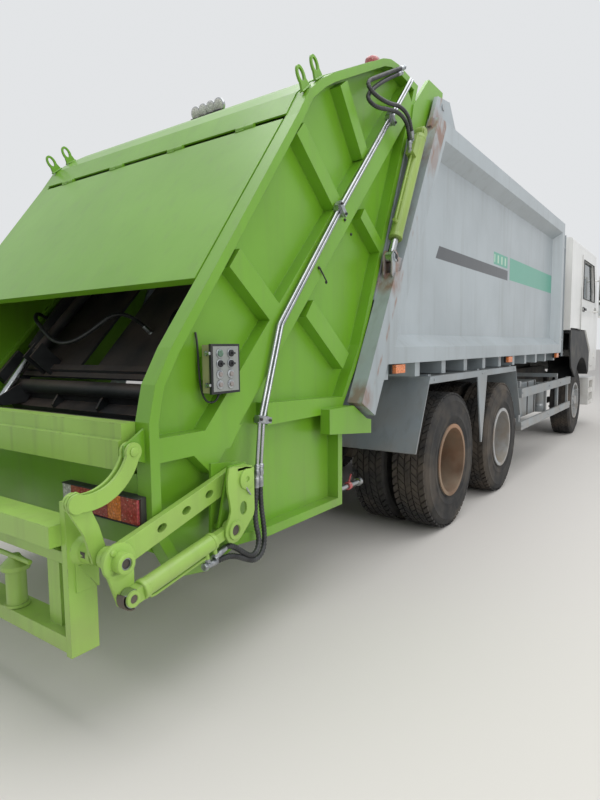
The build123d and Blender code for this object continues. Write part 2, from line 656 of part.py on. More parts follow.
swing_base = along(pivot, slide_angle, 850, 150)
swing_eye = along(pivot, 207, 190)
swing_angle = degrees(atan2(swing_eye[1] - swing_base[1], swing_eye[0] - swing_base[0]))
swing_length = hypot(swing_eye[0] - swing_base[0], swing_eye[1] - swing_base[1])

# Packer carriage: plate between end lugs, a top beam, shoes in the guides and ram lugs
with BuildPart() as carriage:
    prism(slab(pivot, slide_angle, 82, 1000, -8, 8), packer_half, 2 * packer_half)
    prism(slab(pivot, slide_angle, 178, 880, -9, 40), 392, 180, Mode.SUBTRACT)
    prism(slab(pivot, slide_angle, 900, 1000, 8, 70), packer_half, 2 * packer_half)
    prism(slab(pivot, slide_angle, 118, 160, 8, 34), packer_half, 2 * packer_half)
    for y_out in (packer_half, -packer_half + 25):
        prism(slab(pivot, slide_angle, -40, 1000, -45, 60), y_out, 25)
    for y_out in (gate_skin - gate_wall - 2, -packer_half + 1):
        for start in (-20, 780):
            prism(slab(pivot, slide_angle, start, start + 220, guide_offset - guide_gap + running_gap,
                       guide_offset + guide_gap - running_gap), y_out, gate_skin - gate_wall - 1 - packer_half)
    for y in (-680, 680):
        for step in (-46, 34):
            prism(slab(pivot, slide_angle, 90, 210, 8, 185), y + step + 12, 12)
    for y in (-860, 860):
        for step in (-62, 50):
            prism(slab(pivot, slide_angle, 810, 890, 8, 185), y + step + 12, 12)
        cross_rod(along(pivot, slide_angle, 850, 150), y - 55, y + 55, 20)
    for y in (-680, 680):
        cross_rod(along(pivot, slide_angle, 170, 150), y - 40, y + 40, 20)
        rod(place(along(pivot, slide_angle, 170, 150), y), place(along(pivot, slide_angle, 1265, 150), y), 32)
    cross_rods(pivot, packer_half - 90, packer_half, pivot_pin_radius)
finish(carriage.part, "packer_carriage", 0x2E3236)

# Sweeping blade: hinge tube, plate, back beams and ribs
with BuildPart() as blade:
    cross_rod(pivot, -packer_half + 28, packer_half - 28, pivot_tube_radius)
    prism(slab(pivot, blade_angle, 30, blade_length - 40, -blade_wall, 0), packer_half - 30, 2 * packer_half - 60)
    prism(slab(pivot, blade_angle, 220, blade_length - 40, -blade_wall, 0), blade_half, 2 * blade_half)
    prism([along(pivot, blade_angle, blade_length - 45, -blade_wall), along(pivot, blade_angle, blade_length, 6),
           along(pivot, blade_angle, blade_length - 6, 34), along(pivot, blade_angle, blade_length - 60, 0)],
          blade_half, 2 * blade_half)
    prism(slab(pivot, blade_angle, 85, 185, -100, -blade_wall), packer_half - 35, 2 * packer_half - 70)
    prism(slab(pivot, blade_angle, 400, 480, -90, -blade_wall), blade_half - 30, 2 * blade_half - 60)
    for y in (-900, -450, 0, 450, 900):
        prism([along(pivot, blade_angle, 20, -blade_wall), along(pivot, blade_angle, 560, -blade_wall),
               along(pivot, blade_angle, 480, -90), along(pivot, blade_angle, 60, -100)], y + 8, 16)
    lug = [along(pivot, 120, 40), along(swing_eye, 120, 34), along(swing_eye, 207, 36), along(swing_eye, 290, 34),
           along(pivot, 262, 110), along(pivot, 290, 60)]
    for y in (-860, 860):
        for step in (-41, 29):
            prism(lug, y + step + 12, 12)
    cross_rod(pivot, -packer_half, packer_half, pivot_pin_radius + running_gap, Mode.SUBTRACT)
finish(blade.part, "packer_blade", 0x3C4044)

# Ejector: slanted plate with its frame, inside the load body
ejector_foot = 2650
with BuildPart() as ejector:
    ejector_half = body_inner - 12
    low = floor_top + 0.4
    prism([(ejector_foot, low), (ejector_foot + 15, low), (ejector_foot + 815, body_top - 155),
           (ejector_foot + 800, body_top - 155)],
          ejector_half, 2 * ejector_half)
    block((ejector_foot + 15, 3700), (-ejector_half, ejector_half), (low, low + 60))
    for y in (-ejector_half + 80, -400, 400, ejector_half):
        prism([(ejector_foot + 15, low), (3700, low), (3700, low + 120),
               (ejector_foot + 800, body_top - 315)], y, 80)
finish(ejector.part, "ejector", 0x6A7276)

# Rams that lift the tailgate: rods on the posts, barrels to the tailgate with their lock valves
lift_angle = degrees(atan2(lift_eye[1] - lift_base[1], lift_eye[0] - lift_base[0]))
lift_length = hypot(lift_eye[0] - lift_base[0], lift_eye[1] - lift_base[1])
lift_rod_radius = 22
with BuildPart() as lift_barrels:
    for hand in (1, -1):
        y = hand * lift_y
        rod(place(along(lift_base, lift_angle, 134), y), place(along(lift_base, lift_angle, lift_length - 30), y),
            lift_radius)
        cross_rod(lift_eye, y - 25, y + 25, 40)
        cross_rod(lift_eye, hand * (cheek_outer + running_gap), hand * (lift_y + 34), 18)
        cross_rod(lift_eye, hand * (lift_y + 25), hand * (lift_y + 34), 28)
        prism(slab(lift_base, lift_angle, 735, 880, lift_radius - 14, lift_radius + 44), y + 28, 56)
        rod(place(along(lift_base, lift_angle, 225, lift_radius + 14), y),
            place(along(lift_base, lift_angle, 740, lift_radius + 14), y), 8)
        rod(place(along(lift_base, lift_angle, 232, lift_radius - 6), y),
            place(along(lift_base, lift_angle, 232, lift_radius + 26), y), 13)
        rod(place(along(lift_base, lift_angle, 133), y), place(along(lift_base, lift_angle, lift_length - 90), y),
            lift_rod_radius + running_gap, Mode.SUBTRACT)
finish(lift_barrels.part, "lift_barrels", 0x86B646)

with BuildPart() as lift_rods:
    for hand in (1, -1):
        y = hand * lift_y
        rod(place(lift_base, y), place(along(lift_base, lift_angle, lift_length - 130), y), lift_rod_radius)
        cross_rod(lift_base, y - 22, y + 22, 36)
        cross_rod(lift_base, y - 23, y + 23, 20 + running_gap, Mode.SUBTRACT)
finish(lift_rods.part, "lift_rods", 0xC8CCD0)

# Rams that swing the blade: barrels on the carriage, rods to the blade
with BuildPart() as swing_barrels:
    for y in (-860, 860):
        rod(place(along(swing_base, swing_angle, 25), y), place(along(swing_base, swing_angle, 620), y), 48)
        cross_rod(swing_base, y - 40, y + 40, 42)
        rod(place(along(swing_base, swing_angle, 100), y), place(along(swing_base, swing_angle, 621), y),
            26 + running_gap, Mode.SUBTRACT)
        cross_rod(swing_base, y - 60, y + 60, 20 + running_gap, Mode.SUBTRACT)
finish(swing_barrels.part, "blade_barrels", 0x34383C)

with BuildPart() as swing_rods:
    for y in (-860, 860):
        rod(place(along(swing_base, swing_angle, 445), y), place(along(swing_base, swing_angle, swing_length), y), 26)
        cross_rod(swing_eye, y - 24, y + 24, 32)
finish(swing_rods.part, "blade_rods", 0xB8BCC0)

# Steel pipes down the tailgate's right side, its beacon, lifting eyes and control box
with BuildPart() as pipes:
    for shift in (0, 28):
        pts = [(-2330 + shift, 857), (-2300 + shift, 1105), (-2150 + shift, 1540), (-1600 + shift, 2180),
               (-690 + shift, 3180)]
        with BuildLine() as route:
            FilletPolyline(*[(x + origin_x, -1160, z) for x, z in pts], radius=60)
        with BuildSketch(Plane(origin=route.line @ 0, z_dir=route.line % 0)) as bore_section:
            Circle(9)
        sweep(bore_section.sketch, path=route.line)
    for x, z in ((-2300, 1105), (-1600, 2180), (-1000, 2840)):
        block((x - 22, x + 50), (-1172, -gate_half - 0.3), (z - 12, z + 12))
finish(pipes.part, "steel_pipes", 0xD0D4D8)

with BuildPart() as fittings:
    block((-2680, -2530), (-1215, -gate_skin - 0.3), (1260, 1425))
    for y in (-960, -1020, 960, 1020):
        foot, slope = (-1838, 2724), 38.7
        prism([along(foot, slope, 15, 5.3), along(foot, slope, 115, 5.3), along(foot, slope, 95, 75),
               along(foot, slope, 65, 105), along(foot, slope, 35, 75)], y + 6, 12)
        cross_rod(along(foot, slope, 65, 62), y - 10, y + 10, 20, Mode.SUBTRACT)
    rod((-1360, -1020, 3026.6), (-1360, -1020, 3062), 12)
    rod((-1360, -1020, 3060), (-1360, -1020, 3150), 42)
finish(fittings.part, "tailgate_fittings", 0x9A9C8A)

with BuildPart() as tail_lamps:
    for y in ((-1055, -720), (720, 1055)):
        block((-2960, -2911), y, (840, 975))
finish(tail_lamps.part, "tail_lamps", 0xB02818)

# Bin lifter: arms, frame, curved links and rams
with BuildPart() as arms:
    angle = degrees(atan2(hub[1] - arm_pivot[1], hub[0] - arm_pivot[0]))
    length = hypot(hub[0] - arm_pivot[0], hub[1] - arm_pivot[1])
    for y_out in (1185, -1155):
        prism(slab(arm_pivot, angle, 0, length, -62, 62), y_out, 30)
        for share in (0.28, 0.51, 0.74):
            cross_rod(along(arm_pivot, angle, share * length), y_out + 1, y_out - 31, 25, Mode.SUBTRACT)
    cross_rods(arm_pivot, 1155, 1185, 62)
    cross_rods(hub, 1155, 1185, 70)
    cross_rods(arm_pivot, 1150, 1190, 25 + running_gap, Mode.SUBTRACT)
    cross_rods(hub, 1150, 1190, 35 + running_gap, Mode.SUBTRACT)
finish(arms.part, "lifter_arms", 0x86B646)

with BuildPart() as lifter:
    blocks((-3190, -3110), (915, 1000), (322, 900))
    for low, high in ((800, 880), (600, 660), (322, 400)):
        block((-3190, -3110), (-920, 920), (low, high))
    cross_rods(hub, 960, 1083, 40)
    cross_rods(hub, 1080, 1130, 24)
    cross_rods(hub, 1127, 1150, 40)
    cross_rods(hub, 1140, 1202, 35)
    for y_out in (1204, -1190):
        prism(strip((hub[0] + 45, hub[1]), (ram_eye[0] + 40, ram_eye[1] - 20), -90), y_out, 14)
    cross_rods(hub, 1190, 1204, 55)
    for y_out in (1111, -1099):
        prism([(-3190, 800), (-3150, 700), (-3095, 740), (-3140, 830), (-3185, 945), (-3235, 955), (-3250, 900)], y_out, 12)
    block((-3250, -3190), (-500, 500), (840, 900))
    for k in range(9):
        y = -480 + 120 * k
        prism([(tail, 845), (-3240, 845), (-3240, 900), (-3290, 960), (tail, 955)], y + 15, 30)
    for y in (-600, 0, 600):
        block((-3180, -3120), (y - 30, y + 30), (400, 800))
finish(lifter.part, "lifter_frame", 0x86B646)

with BuildPart() as links:
    middle = ((link_pivot[0] + link_eye[0]) / 2 + 29, (link_pivot[1] + link_eye[1]) / 2 - 47)
    for y_out in (1096, 1126, -1084, -1114):
        with BuildSketch(side(y_out)) as crescent:
            with BuildLine():
                ThreePointArc(link_pivot, middle, link_eye)
            trace(line_width=58)
            with Locations(link_pivot, link_eye):
                Circle(35)
        extrude(crescent.sketch, amount=12)
    cross_rods(link_pivot, 1084, 1126, 16)
finish(links.part, "lifter_links", 0x86B646)

ram_angle = degrees(atan2(ram_eye[1] - ram_base[1], ram_eye[0] - ram_base[0]))
ram_y = 1225
with BuildPart() as ram_barrels:
    for hand in (1, -1):
        y = hand * ram_y
        rod(place(along(ram_base, ram_angle, 105), y), place(along(ram_base, ram_angle, 475), y), 34)
        prism(slab(ram_base, ram_angle, 0, 130, -22, 22), y + 16, 32)
        cross_rod(ram_base, y - 16, y + 16, 36)
        rod(place(along(ram_base, ram_angle, 120), y), place(along(ram_base, ram_angle, 476), y), 18 + running_gap,
            Mode.SUBTRACT)
        cross_rod(ram_base, y - 30, y + 30, 20 + running_gap, Mode.SUBTRACT)
finish(ram_barrels.part, "lifter_barrels", 0x86B646)

with BuildPart() as ram_rods:
    for hand in (1, -1):
        y = hand * ram_y
        rod(place(along(ram_base, ram_angle, 125), y), place(ram_eye, y), 18)
        cross_rod(ram_eye, y - 17, y + 17, 32)
finish(ram_rods.part, "lifter_rods", 0xC8CCD0)

# Cab: stepped floor, back, sides with door openings, roof, front and windscreen
cab_inner = cab_half - cab_wall
with BuildPart() as cab_floor:
    prism([(cab_rear + 30, 1640), (6330, 1640), (6330, 1340), (7095, 1340), (7095, 1370), (6360, 1370),
           (6360, 1670), (cab_rear + 30, 1670)], cab_inner - 0.3, 2 * cab_inner - 0.6)
    for hand in (1, -1):
        prism([(6900, 1340), (6990, 1340), (7100, 985), (7112, 930), (7108, 882), (7088, 868), (7050, 868), (6930, 1100)],
              hand * (rail_outer + 60) + 20, 40)
        cross_rod(cab_pivot, hand * (rail_outer + 30), hand * (rail_outer + 90), 22 + running_gap, Mode.SUBTRACT)
finish(cab_floor.part, "cab_floor", 0x3A3E42)

door_outline = [(5430, 1650), (5430, door_top), (6500, door_top), (6720, 2250), (6720, 1060), (6400, 1060),
                (6400, 1300), (5900, 1650)]
with BuildPart() as cab_shell:
    outline = [(cab_rear + 30, 1670.3), (cab_rear + 30, cab_header), (6740, cab_header), (7105, 2060), (7105, 975), (6350, 975),
               (6350, 1330), (5830, 1670.3)]
    pair(outline, cab_half, cab_wall)
    pair(door_outline, cab_half + 1, cab_wall + 2, Mode.SUBTRACT)
    block((cab_rear, cab_rear + 30), (-cab_half, cab_half), (1640, cab_header))
    for hand in (1, -1):
        for z in door_hinge_heights:
            rod((door_hinge[0], hand * door_hinge[1], z), (door_hinge[0], hand * door_hinge[1], z + 90), door_pin_radius)
            block((door_hinge[0] - 6, door_hinge[0] + 45), sorted((hand * (cab_half - 1), hand * (door_hinge[1] + 6))), (z, z + 25))
finish(cab_shell.part, "cab_shell", 0xE8E8E6)

with BuildPart() as cab_top:
    block((cab_rear, 6760), (-cab_half, cab_half), (cab_header + 0.3, cab_roof))
    prism([(6740, cab_header + 0.3), (6760, cab_roof), (nose - 12, cab_roof - 90), (nose, cab_roof - 112),
           (7060, cab_roof - 120), (6800, cab_header + 0.3)], cab_half - 135, 2 * cab_half - 270)
    fillet(cab_top.edges().filter_by(Axis.X).group_by(Axis.Z)[-1], 40)
finish(cab_top.part, "cab_roof", 0xE8E8E6)

with BuildPart() as cab_face:
    block((7105.3, cab_front), (-cab_half, cab_half), (975, 2055))
    for z in (1150, 1230, 1310, 1390, 1470):
        block((7104, cab_front + 1), (-700, 700), (z, z + 45), Mode.SUBTRACT)
    fillet(cab_face.edges().filter_by(Axis.Z).group_by(Axis.X)[-1], 35)
finish(cab_face.part, "cab_front", 0xE8E8E6)

with BuildPart() as windscreen:
    prism(strip((7110, 2062), (6752, cab_header - 4), 8), cab_inner - 0.3, 2 * cab_inner - 0.6)
finish(windscreen.part, "windscreen", 0x506068)

with BuildPart() as arches:
    for y_out in (cab_half, -830):
        with BuildSketch(side(y_out)) as arch:
            with Locations((front_axle, tyre_radius)):
                Circle(705)
                Circle(690, mode=Mode.SUBTRACT)
            with Locations((front_axle, tyre_radius - 400)):
                Rectangle(2000, 1600, mode=Mode.SUBTRACT)
        extrude(arch.sketch, amount=cab_half - 830)
    for y_out in (cab_half, -cab_half + 20):
        with BuildSketch(side(y_out)) as trim:
            with BuildLine():
                Polyline((4680, 1370), (4680, 1639.7), (5830, 1639.7), (6330, 1300), (6330, 975), (6230, 935), (5120, 935),
                         (4800, 1100), close=True)
            make_face()
            with Locations((front_axle, tyre_radius)):
                Circle(700, mode=Mode.SUBTRACT)
        extrude(trim.sketch, amount=20)
        prism([(4680, 1600), (5830, 1600), (5830, 1639.7), (4680, 1639.7)], y_out if y_out > 0 else 135 - cab_half, 135)
finish(arches.part, "wheel_arches", 0x26282A)

for side_name, hand in (("left", 1), ("right", -1)):
    y_out = cab_half + 10 if hand > 0 else -(cab_half + 10) + door_wall
    pane_out = cab_half - 20 if hand > 0 else -(cab_half - 20) + 6
    with BuildPart() as door:
        with BuildSketch(side(y_out)) as door_sketch:
            with BuildLine():
                Polyline(*door_outline, close=True)
            make_face()
            offset(amount=-door_gap, kind=Kind.INTERSECTION, mode=Mode.REPLACE)
            with BuildLine():
                Polyline((5520, 2140), (5520, window_top), (6450, window_top), (6620, 2300), (6620, 2140), close=True)
            make_face(mode=Mode.SUBTRACT)
        extrude(door_sketch.sketch, amount=door_wall)
        for z in (1980, 2500):
            rod((6600, hand * (cab_half + 5), z), (6640, hand * (cab_half + 120), z), 14)
        block((6600, 6690), sorted((hand * (cab_half + 75), hand * (cab_half + 235))), (1880, 2580))
        block((5520, 5680), sorted((hand * (cab_half + 5), hand * (cab_half + 40))), (1960, 1990))
        for z in door_hinge_heights:
            block((door_hinge[0] - 45, door_hinge[0]), sorted((hand * (door_hinge[1] - 7), hand * (door_hinge[1] + 7))), (z + 25.5, z + 85))
            rod((door_hinge[0], hand * door_hinge[1], z + 25.5), (door_hinge[0], hand * door_hinge[1], z + 85), 14)
            rod((door_hinge[0], hand * door_hinge[1], z + 25), (door_hinge[0], hand * door_hinge[1], z + 91),
                door_pin_radius + 0.05, Mode.SUBTRACT)
    finish(door.part, "door_" + side_name, 0xE8E8E6)

    with BuildPart() as pane:
        prism([(5520.5, 2140.5), (5520.5, window_top - 0.5), (6449.5, window_top - 0.5), (6619.5, 2300),
               (6619.5, 2140.5)], pane_out, 6)
    finish(pane.part, "door_glass_" + side_name, 0x506068)

with BuildPart() as seats:
    for y in (-700, 700):
        block((4950, 5400), (y - 250, y + 250), (1790, 1920))
        block((4850, 4960), (y - 250, y + 250), (1850, 2420))
        block((5000, 5350), (y - 180, y + 180), (1670.3, 1790))
finish(seats.part, "seats", 0x303236)

with BuildPart() as dash:
    prism([(6800, 1660), (7104.7, 1660), (7104.7, 2040), (6980, 2050), (6760, 1990), (6740, 1800)], cab_inner - 3,
          2 * cab_inner - 6)
    prism([(6900, 1370.3), (7000, 1370.3), (7000, 1661), (6900, 1661)], cab_half - 235, 2 * cab_half - 470)
    rod((6800, 700, 1850), (6480, 700, 2010), 30)
    wheel_plane = Plane(origin=(origin_x + 6480, 700, 2010), z_dir=(-0.894, 0, 0.447))
    with BuildSketch(wheel_plane) as hoop:
        Circle(225)
        Circle(195, mode=Mode.SUBTRACT)
        Rectangle(400, 30)
        Circle(50)
    extrude(hoop.sketch, amount=28)
finish(dash.part, "dashboard", 0x303236)
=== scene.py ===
"""Garbage truck, rear loader: paint, tyres, hoses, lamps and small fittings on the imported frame."""

import json
import math

import bmesh
import bpy
from mathutils import Matrix, Vector


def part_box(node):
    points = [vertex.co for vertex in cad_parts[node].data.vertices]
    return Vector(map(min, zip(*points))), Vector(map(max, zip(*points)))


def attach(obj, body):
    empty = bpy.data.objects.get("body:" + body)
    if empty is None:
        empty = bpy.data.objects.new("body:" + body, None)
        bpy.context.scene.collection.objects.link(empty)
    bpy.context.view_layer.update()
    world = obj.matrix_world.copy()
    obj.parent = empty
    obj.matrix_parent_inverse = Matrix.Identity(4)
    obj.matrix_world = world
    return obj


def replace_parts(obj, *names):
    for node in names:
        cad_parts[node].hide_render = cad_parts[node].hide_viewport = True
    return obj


bl_info = {
    "name": "Garbage truck",
    "version": (1, 0, 0),
    "blender": (4, 5, 0),
    "location": "View3D > Sidebar > Truck",
    "description": "Dresses a packed rear loader with its paint, tyres, hoses and lamps",
    "category": "Add Mesh",
}

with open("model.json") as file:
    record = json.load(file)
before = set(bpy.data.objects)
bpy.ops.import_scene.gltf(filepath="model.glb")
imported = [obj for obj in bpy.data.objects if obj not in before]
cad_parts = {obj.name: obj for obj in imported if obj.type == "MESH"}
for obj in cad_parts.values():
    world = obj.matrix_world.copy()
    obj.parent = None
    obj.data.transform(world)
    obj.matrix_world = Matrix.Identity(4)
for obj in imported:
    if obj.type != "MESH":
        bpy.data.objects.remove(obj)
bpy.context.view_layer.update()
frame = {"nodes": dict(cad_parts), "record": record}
nodes = frame["nodes"]
rear_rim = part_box("rims_rear_right")
AXLE = (rear_rim[0][0] + rear_rim[1][0]) / 2
TURN = 2 * math.pi


def at(x, y, z):
    """Point from its distances ahead of the rearmost axle, left of the middle and above the ground."""
    return Vector((AXLE + x, y, z))


def beside(spot, y):
    """Point at a named spot of the side view, y left of the middle."""
    return at(spot[0], y, spot[1])


def linear(colour):
    """Scene colour of an sRGB hex value."""
    parts = [int(colour[k:k + 2], 16) / 255 for k in (0, 2, 4)]
    return tuple(p / 12.92 if p <= 0.04045 else ((p + 0.055) / 1.055) ** 2.4 for p in parts) + (1.0,)


def circle(count):
    """Cosine and sine of even steps round a circle."""
    return [(math.cos(TURN * k / count), math.sin(TURN * k / count)) for k in range(count)]


def slope(degrees):
    """Directions up a slope and square to it, in the side view."""
    angle = math.radians(degrees)
    return Vector((math.cos(angle), 0, math.sin(angle))), Vector((-math.sin(angle), 0, math.cos(angle)))


SIDES = (("left", 1), ("right", -1))

# Spots of the side view, from the rearmost axle and the ground
FRONT_AXLE, MIDDLE_AXLE = 5.675, 1.350
ARM_PIVOT, ARM_END = (-2.510, 0.883), (-3.119, 0.707)
RAM_FOOT, ROD_EYE, LIFT_FOOT = (-2.585, 0.681), (-3.099, 0.577), (-1.055, 1.985)
MARKERS = (-0.985, 1.540, 3.776)

# Shapes in mesh code

class Shape:
    """A mesh that grows piece by piece, in truck distances."""

    def __init__(self):
        self.mesh = bmesh.new()
        self.slot = 0

    def skin(self, rings, loop=False):
        """Joins rings of points, each as long as the next, into a surface; a loop joins the last to the first."""
        rows = [[self.mesh.verts.new(p) for p in ring] for ring in rings]
        count = len(rows[0])
        for low, high in zip(rows, rows[1:] + rows[:1] if loop else rows[1:]):
            for k in range(count):
                j = (k + 1) % count
                self.face((low[k], low[j], high[j], high[k]))
        if not loop:
            self.face(rows[0][::-1])
            self.face(rows[-1])

    def of(self, slot):
        """The shape itself, with this finish for what comes next."""
        self.slot = slot
        return self

    def face(self, verts):
        self.mesh.faces.new(verts).material_index = self.slot

    def plate(self, outline, y, depth):
        """Plate with a side outline, from y towards the right."""
        self.skin([[at(x, y, z) for x, z in outline], [at(x, y - depth, z) for x, z in outline]])

    def pierced(self, outline, holes, y, depth):
        """Plate with a side outline and with holes, from y towards the right."""
        flat = bmesh.new()
        edges = []
        for loop in (outline, *holes):
            dots = [flat.verts.new(at(x, y, z)) for x, z in loop]
            edges += [flat.edges.new(ends) for ends in zip(dots, dots[1:] + dots[:1])]
        bmesh.ops.triangle_fill(flat, use_beauty=True, edges=edges)
        flat.verts.index_update()
        near, far = [[self.mesh.verts.new(v.co + Vector((0, shift, 0))) for v in flat.verts] for shift in (0, -depth)]
        made = []
        for face in flat.faces:
            made.append([near[v.index] for v in face.verts])
            made.append([far[v.index] for v in reversed(face.verts)])
        for a, b in (edge.verts for edge in flat.edges if edge.is_boundary):
            made.append([near[a.index], near[b.index], far[b.index], far[a.index]])
        for corners in made:
            self.face(corners)
        flat.free()

    def box(self, x, y, z):
        low, high = sorted(y)
        self.plate([(x[0], z[0]), (x[1], z[0]), (x[1], z[1]), (x[0], z[1])], high, high - low)

    def turned(self, base, axis, profile, sides=24, loop=False):
        """Round shape about an axis, from (distance along it, radius) points."""
        axis = Vector(axis).normalized()
        first = axis.orthogonal().normalized()
        second = axis.cross(first)
        rings = []
        for step, radius in profile:
            middle = base + axis * step
            rings.append([middle + radius * (c * first + s * second) for c, s in circle(sides)])
        self.skin(rings, loop)

    def bar(self, start, end, radius, sides=16):
        along = end - start
        edge = min(radius * 0.2, along.length * 0.2)
        self.turned(start, along, [
            (0, radius - edge), (edge, radius), (along.length - edge, radius), (along.length, radius - edge)], sides)

    def nut(self, base, axis, radius, height):
        """Hexagon nut with the end of its stud."""
        self.turned(base, axis, [(0, radius), (height * 0.85, radius), (height, radius * 0.88)], 6)
        self.turned(base, axis, [(0, radius * 0.5), (height * 1.45, radius * 0.5), (height * 1.55, radius * 0.42)], 10)

    def dome(self, base, axis, radius, height, sides=20):
        profile = [(height * s, radius * c) for c, s in circle(20)[:5]]
        self.turned(base, axis, profile + [(height, radius * 0.02)], sides)

    def tube(self, points, radius, sides=10, swell=None):
        """Tube along points; swell gives the radius from the distance along it."""
        points = [Vector(p) for p in points]
        up = None
        rings, run = [], 0.0
        for k, p in enumerate(points):
            ahead = (points[min(k + 1, len(points) - 1)] - points[max(k - 1, 0)]).normalized()
            up = ahead.orthogonal().normalized() if up is None else (up - ahead * up.dot(ahead)).normalized()
            other = ahead.cross(up)
            run += (p - points[k - 1]).length if k else 0.0
            r = swell(run) if swell else radius
            rings.append([p + r * (c * up + s * other) for c, s in circle(sides)])
        self.skin(rings)


def raw_object(name, shape, materials, smooth=None):
    """Makes an object of a shape; smooth is the angle, in degrees, past which an edge stays sharp."""
    bmesh.ops.recalc_face_normals(shape.mesh, faces=shape.mesh.faces)
    mesh = bpy.data.meshes.new(name)
    shape.mesh.to_mesh(mesh)
    shape.mesh.free()
    for material in materials:
        mesh.materials.append(material)
    made = bpy.data.objects.new(name, mesh)
    bpy.context.scene.collection.objects.link(made)
    if smooth:
        mesh.polygons.foreach_set("use_smooth", [True] * len(mesh.polygons))
        mesh.set_sharp_from_angle(angle=math.radians(smooth))
    return made


def piece(name, shape, materials, body, smooth=35, bevel=0.0):
    """Finished piece, with its finishes by name, that rides on a body."""
    made = raw_object(name, shape, [finishes[look] for look in materials.split()], smooth)
    if bevel:
        soften = made.modifiers.new("Edges", "BEVEL")
        soften.width = bevel
        soften.segments = 2
        soften.limit_method = "ANGLE"
        soften.angle_limit = math.radians(40)
        soften.harden_normals = True
    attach(made, body)
    return made


# Geometry Nodes for what repeats

def add(tree, kind, settings=None, inputs=None):
    """Adds one node with its settings, and with its inputs as values or links."""
    made = tree.nodes.new(kind)
    for name, value in (settings or {}).items():
        setattr(made, name, value)
    for name, value in (inputs or {}).items():
        if isinstance(value, bpy.types.NodeSocket):
            tree.links.new(value, made.inputs[name])
        else:
            made.inputs[name].default_value = value
    return made


def ring_tree():
    """Tree that repeats a mesh round a centre, about the cross axis."""
    tree = bpy.data.node_groups.new("Ring of parts", "GeometryNodeTree")
    for label, kind in (("Geometry", "Geometry"), ("Count", "Int"), ("Centre", "Vector"), ("Material", "Material")):
        tree.interface.new_socket(label, in_out="INPUT", socket_type="NodeSocket" + kind)
    tree.interface.new_socket("Geometry", in_out="OUTPUT", socket_type="NodeSocketGeometry")
    given = add(tree, "NodeGroupInput").outputs
    places = add(tree, "GeometryNodeMeshLine", None, {"Count": given["Count"], "Start Location": given["Centre"],
        "Offset": (0, 0, 0)})
    share = add(tree, "ShaderNodeMath", {"operation": "DIVIDE"}, {0: TURN, 1: given["Count"]})
    index = add(tree, "GeometryNodeInputIndex")
    angle = add(tree, "ShaderNodeMath", {"operation": "MULTIPLY"}, {0: index.outputs[0], 1: share.outputs[0]})
    turn = add(tree, "ShaderNodeCombineXYZ", None, {"Y": angle.outputs[0]})
    back = add(tree, "ShaderNodeVectorMath", {"operation": "SCALE"}, {0: given["Centre"], "Scale": -1.0})
    unit = add(tree, "GeometryNodeTransform", None, {"Geometry": given["Geometry"], "Translation": back.outputs[0]})
    spread = add(tree, "GeometryNodeInstanceOnPoints", None, {"Points": places.outputs[0],
        "Instance": unit.outputs[0], "Rotation": turn.outputs[0]})
    solid = add(tree, "GeometryNodeRealizeInstances", None, {"Geometry": spread.outputs[0]})
    dressed = add(tree, "GeometryNodeSetMaterial", None, {"Geometry": solid.outputs[0], "Material": given["Material"]})
    add(tree, "NodeGroupOutput", None, {"Geometry": dressed.outputs[0]})
    return tree


def repeated(shape, material, count, centre):
    """Plain mesh of a shape repeated round a centre."""
    source = raw_object("repeat", shape, [material], 35)
    maker = source.modifiers.new("Repeat", "NODES")
    maker.node_group = bpy.data.node_groups.get("Ring of parts") or ring_tree()
    values = {"Count": count, "Centre": centre, "Material": material}
    for item in maker.node_group.interface.items_tree:
        if item.in_out == "INPUT" and item.name in values:
            maker[item.identifier] = values[item.name]
    graph = bpy.context.evaluated_depsgraph_get()
    mesh = bpy.data.meshes.new_from_object(source.evaluated_get(graph))
    bpy.data.objects.remove(source)
    return mesh


# Finishes

